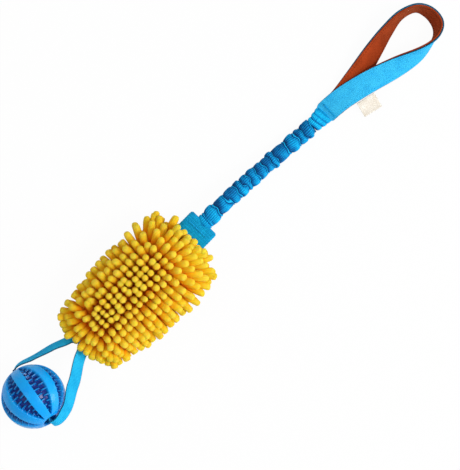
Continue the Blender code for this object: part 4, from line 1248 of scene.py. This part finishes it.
# Studio
def add_floor():
    """Pale floor that the camera sees as near white, so the toy's shadow on it stays faint.

    Only camera rays see its glow, so it lights nothing.
    """
    size = 6.0
    points = np.array([[-size, -size, 0], [size, -size, 0], [size, size, 0], [-size, size, 0]])
    points[:, 2] = -0.3 * MM
    material, tree, shader = start_material("pale_floor", 0.9, Specular_IOR_Level=0.1)
    shader.inputs["Base Color"].default_value = (0.9, 0.9, 0.9, 1)
    glow = add_node(tree, "ShaderNodeEmission", {"Color": (1, 1, 1, 1), "Strength": 1.0})
    rays = add_node(tree, "ShaderNodeLightPath")
    seen = math_node(tree, "MULTIPLY", rays.outputs["Is Camera Ray"], 0.96)
    inputs = {0: seen, 1: shader.outputs[0], 2: glow.outputs[0]}
    mixed = add_node(tree, "ShaderNodeMixShader", inputs)
    output = tree.nodes["Material Output"]
    tree.links.new(mixed.outputs[0], output.inputs["Surface"])
    floor = add_mesh("pale_floor", points, [np.array([[0, 1, 2, 3]])], material)


def add_light(name, place, target, size, power):
    """A round area lamp aimed at a target; size in metres, power in watts."""
    data = bpy.data.lights.new(name, "AREA")
    data.shape = "DISK"
    data.size = size
    data.energy = power
    light = bpy.data.objects.new(name, data)
    bpy.context.scene.collection.objects.link(light)
    aim = unit(np.array(target) - np.array(place))
    turn_to(light, place, -aim, UP)


def turn_to(obj, place, back, up):
    """Place an object whose -Z looks along minus back, with its Y near up."""
    z = unit(np.asarray(back, float))
    x = unit(np.cross(up, z))
    y = np.cross(z, x)
    matrix = np.eye(4)
    matrix[:3, 0], matrix[:3, 1], matrix[:3, 2], matrix[:3, 3] = x, y, z, place
    obj.matrix_world = Matrix(matrix.tolist())


def add_studio():
    """Soft light from above and from one side, on a white surround."""
    scene = bpy.context.scene
    scene.view_settings.view_transform = "Standard"
    world = bpy.data.worlds.new("surround")
    scene.world = world
    world.use_nodes = True
    surround = world.node_tree.nodes["Background"]
    surround.inputs["Color"].default_value = (1, 1, 1, 1)
    surround.inputs["Strength"].default_value = 0.48
    add_light("key", (1.34, -1.53, 2.43), (0.12, 0, 0), 1.2, 49.5)
    add_light("side", (1.71, -2.16, 0.70), (0.0, 0, 0.02), 1.26, 18.0)
    add_light("fill", (-1.18, 1.08, 2.7), (0.12, 0, 0), 2.2, 7.0)


def add_camera():
    """Camera straight above, turned so that the toy runs from lower left to upper right."""
    across_view = 503.2 * MM
    distance = 2.4
    right = np.array([0.701, -0.713, 0.0])
    up = np.array([0.713, 0.701, 0.0])
    target = np.array([0.1208, -0.0293, 0.02])
    data = bpy.data.cameras.new("camera")
    data.sensor_fit = "HORIZONTAL"
    data.sensor_width = 36.0
    data.lens = 36.0 * distance / across_view
    data.clip_end = 20
    camera = bpy.data.objects.new("camera", data)
    bpy.context.scene.collection.objects.link(camera)
    turn_to(camera, target + UP * distance, np.cross(right, up), up)
    bpy.context.scene.camera = camera


def dress():
    """Every piece of the toy with its material."""
    chenille = chenille_material()
    pad_panel("pad_top_chenille", True, 3, chenille)
    pad_panel("pad_bottom_chenille", False, 8, chenille)
    tubing = sleeve_material()
    band_webbing = webbing_material(
        "neck_webbing", (0.005, 0.50, 0.90), (0.0, 0.18, 0.42), 1.3 * MM, 1.6 * MM, 0.22 * MM
    )
    neck_band(band_webbing)
    bungee_sleeve(tubing)
    root_gather(tubing)
    end_cuff(tubing)
    elastic = plain_cloth_material(
        "elastic", (0.6, 0.6, 0.58), (0.8, 0.8, 0.78), 800.0, 0.1 * MM
    )
    elastic_core(elastic)
    handle_webbing = webbing_material(
        "handle_webbing", (0.05, 0.60, 0.98), (0.01, 0.36, 0.78),
        1.2 * MM, 1.9 * MM, 0.12 * MM, WEBBING_WIDTH / 2,
    )
    handle_layer(
        "loop_webbing", "handle_webbing", WEBBING_WIDTH, WEBBING_THICKNESS, -1, 0.0,
        handle_webbing,
    )
    handle_layer(
        "loop_lining", "handle_lining", LINING_WIDTH, LINING_THICKNESS, 1, LINING_FIRST_SHARE,
        felt_material(),
    )
    handle_label(label_material())
    treat_ball(rubber_material())
    strap_webbing = webbing_material(
        "strap_webbing", (0.02, 0.58, 0.98), (0.0, 0.33, 0.72),
        1.4 * MM, 2.8 * MM, 0.16 * MM, STRAP_WIDTH / 2,
    )
    ball_strap(strap_webbing)
    thread = thread_material("blue_thread", (0.0, 0.38, 0.74), (0.02, 0.55, 0.94))
    dark_thread = thread_material("brown_thread", (0.14, 0.018, 0.004), (0.24, 0.034, 0.008))
    handle_stitching(thread, dark_thread)
    x_way, y_way = np.array([1.0, 0, 0]), np.array([0, 1.0, 0])
    bar_tack("neck_bar_tack", "pad", x_way, y_way, UP, 25.6 * MM, thread)
    bar_tack("cuff_bar_tack", "bungee_end", x_way, y_way, UP, 16 * MM, thread)
    middle, across, normal = (row[0] for row in handle_path(np.array([0.915])))
    ahead = np.cross(across, normal)
    bar_tack("handle_bar_tack", "handle", ahead, across, -normal, 20 * MM, thread)
    dress_packed_nodes()


def dress_packed_nodes():
    """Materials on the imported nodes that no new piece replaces."""
    stuffing = plain_cloth_material(
        "stuffing", (0.75, 0.75, 0.72), (0.92, 0.92, 0.9), 300.0, 0.8 * MM
    )
    shell = plain_cloth_material(
        "squeaker_shell", (0.72, 0.72, 0.7), (0.82, 0.82, 0.8), 400.0, 0.05 * MM, 0.4
    )
    tail = plain_cloth_material(
        "tail_webbing", (0.0, 0.33, 0.72), (0.02, 0.58, 0.98), 600.0, 0.16 * MM
    )
    pairs = (
        ("filling_upper", stuffing), ("squeaker_bulb", shell), ("strap_tail", tail),
        ("filling_lower", stuffing), ("squeaker_reed", shell),
    )
    for node, material in pairs:
        mesh = frame["nodes"][node].data
        mesh.materials.clear()
        mesh.materials.append(material)


dress()
add_floor()
add_studio()
add_camera()
bpy.context.view_layer.update()
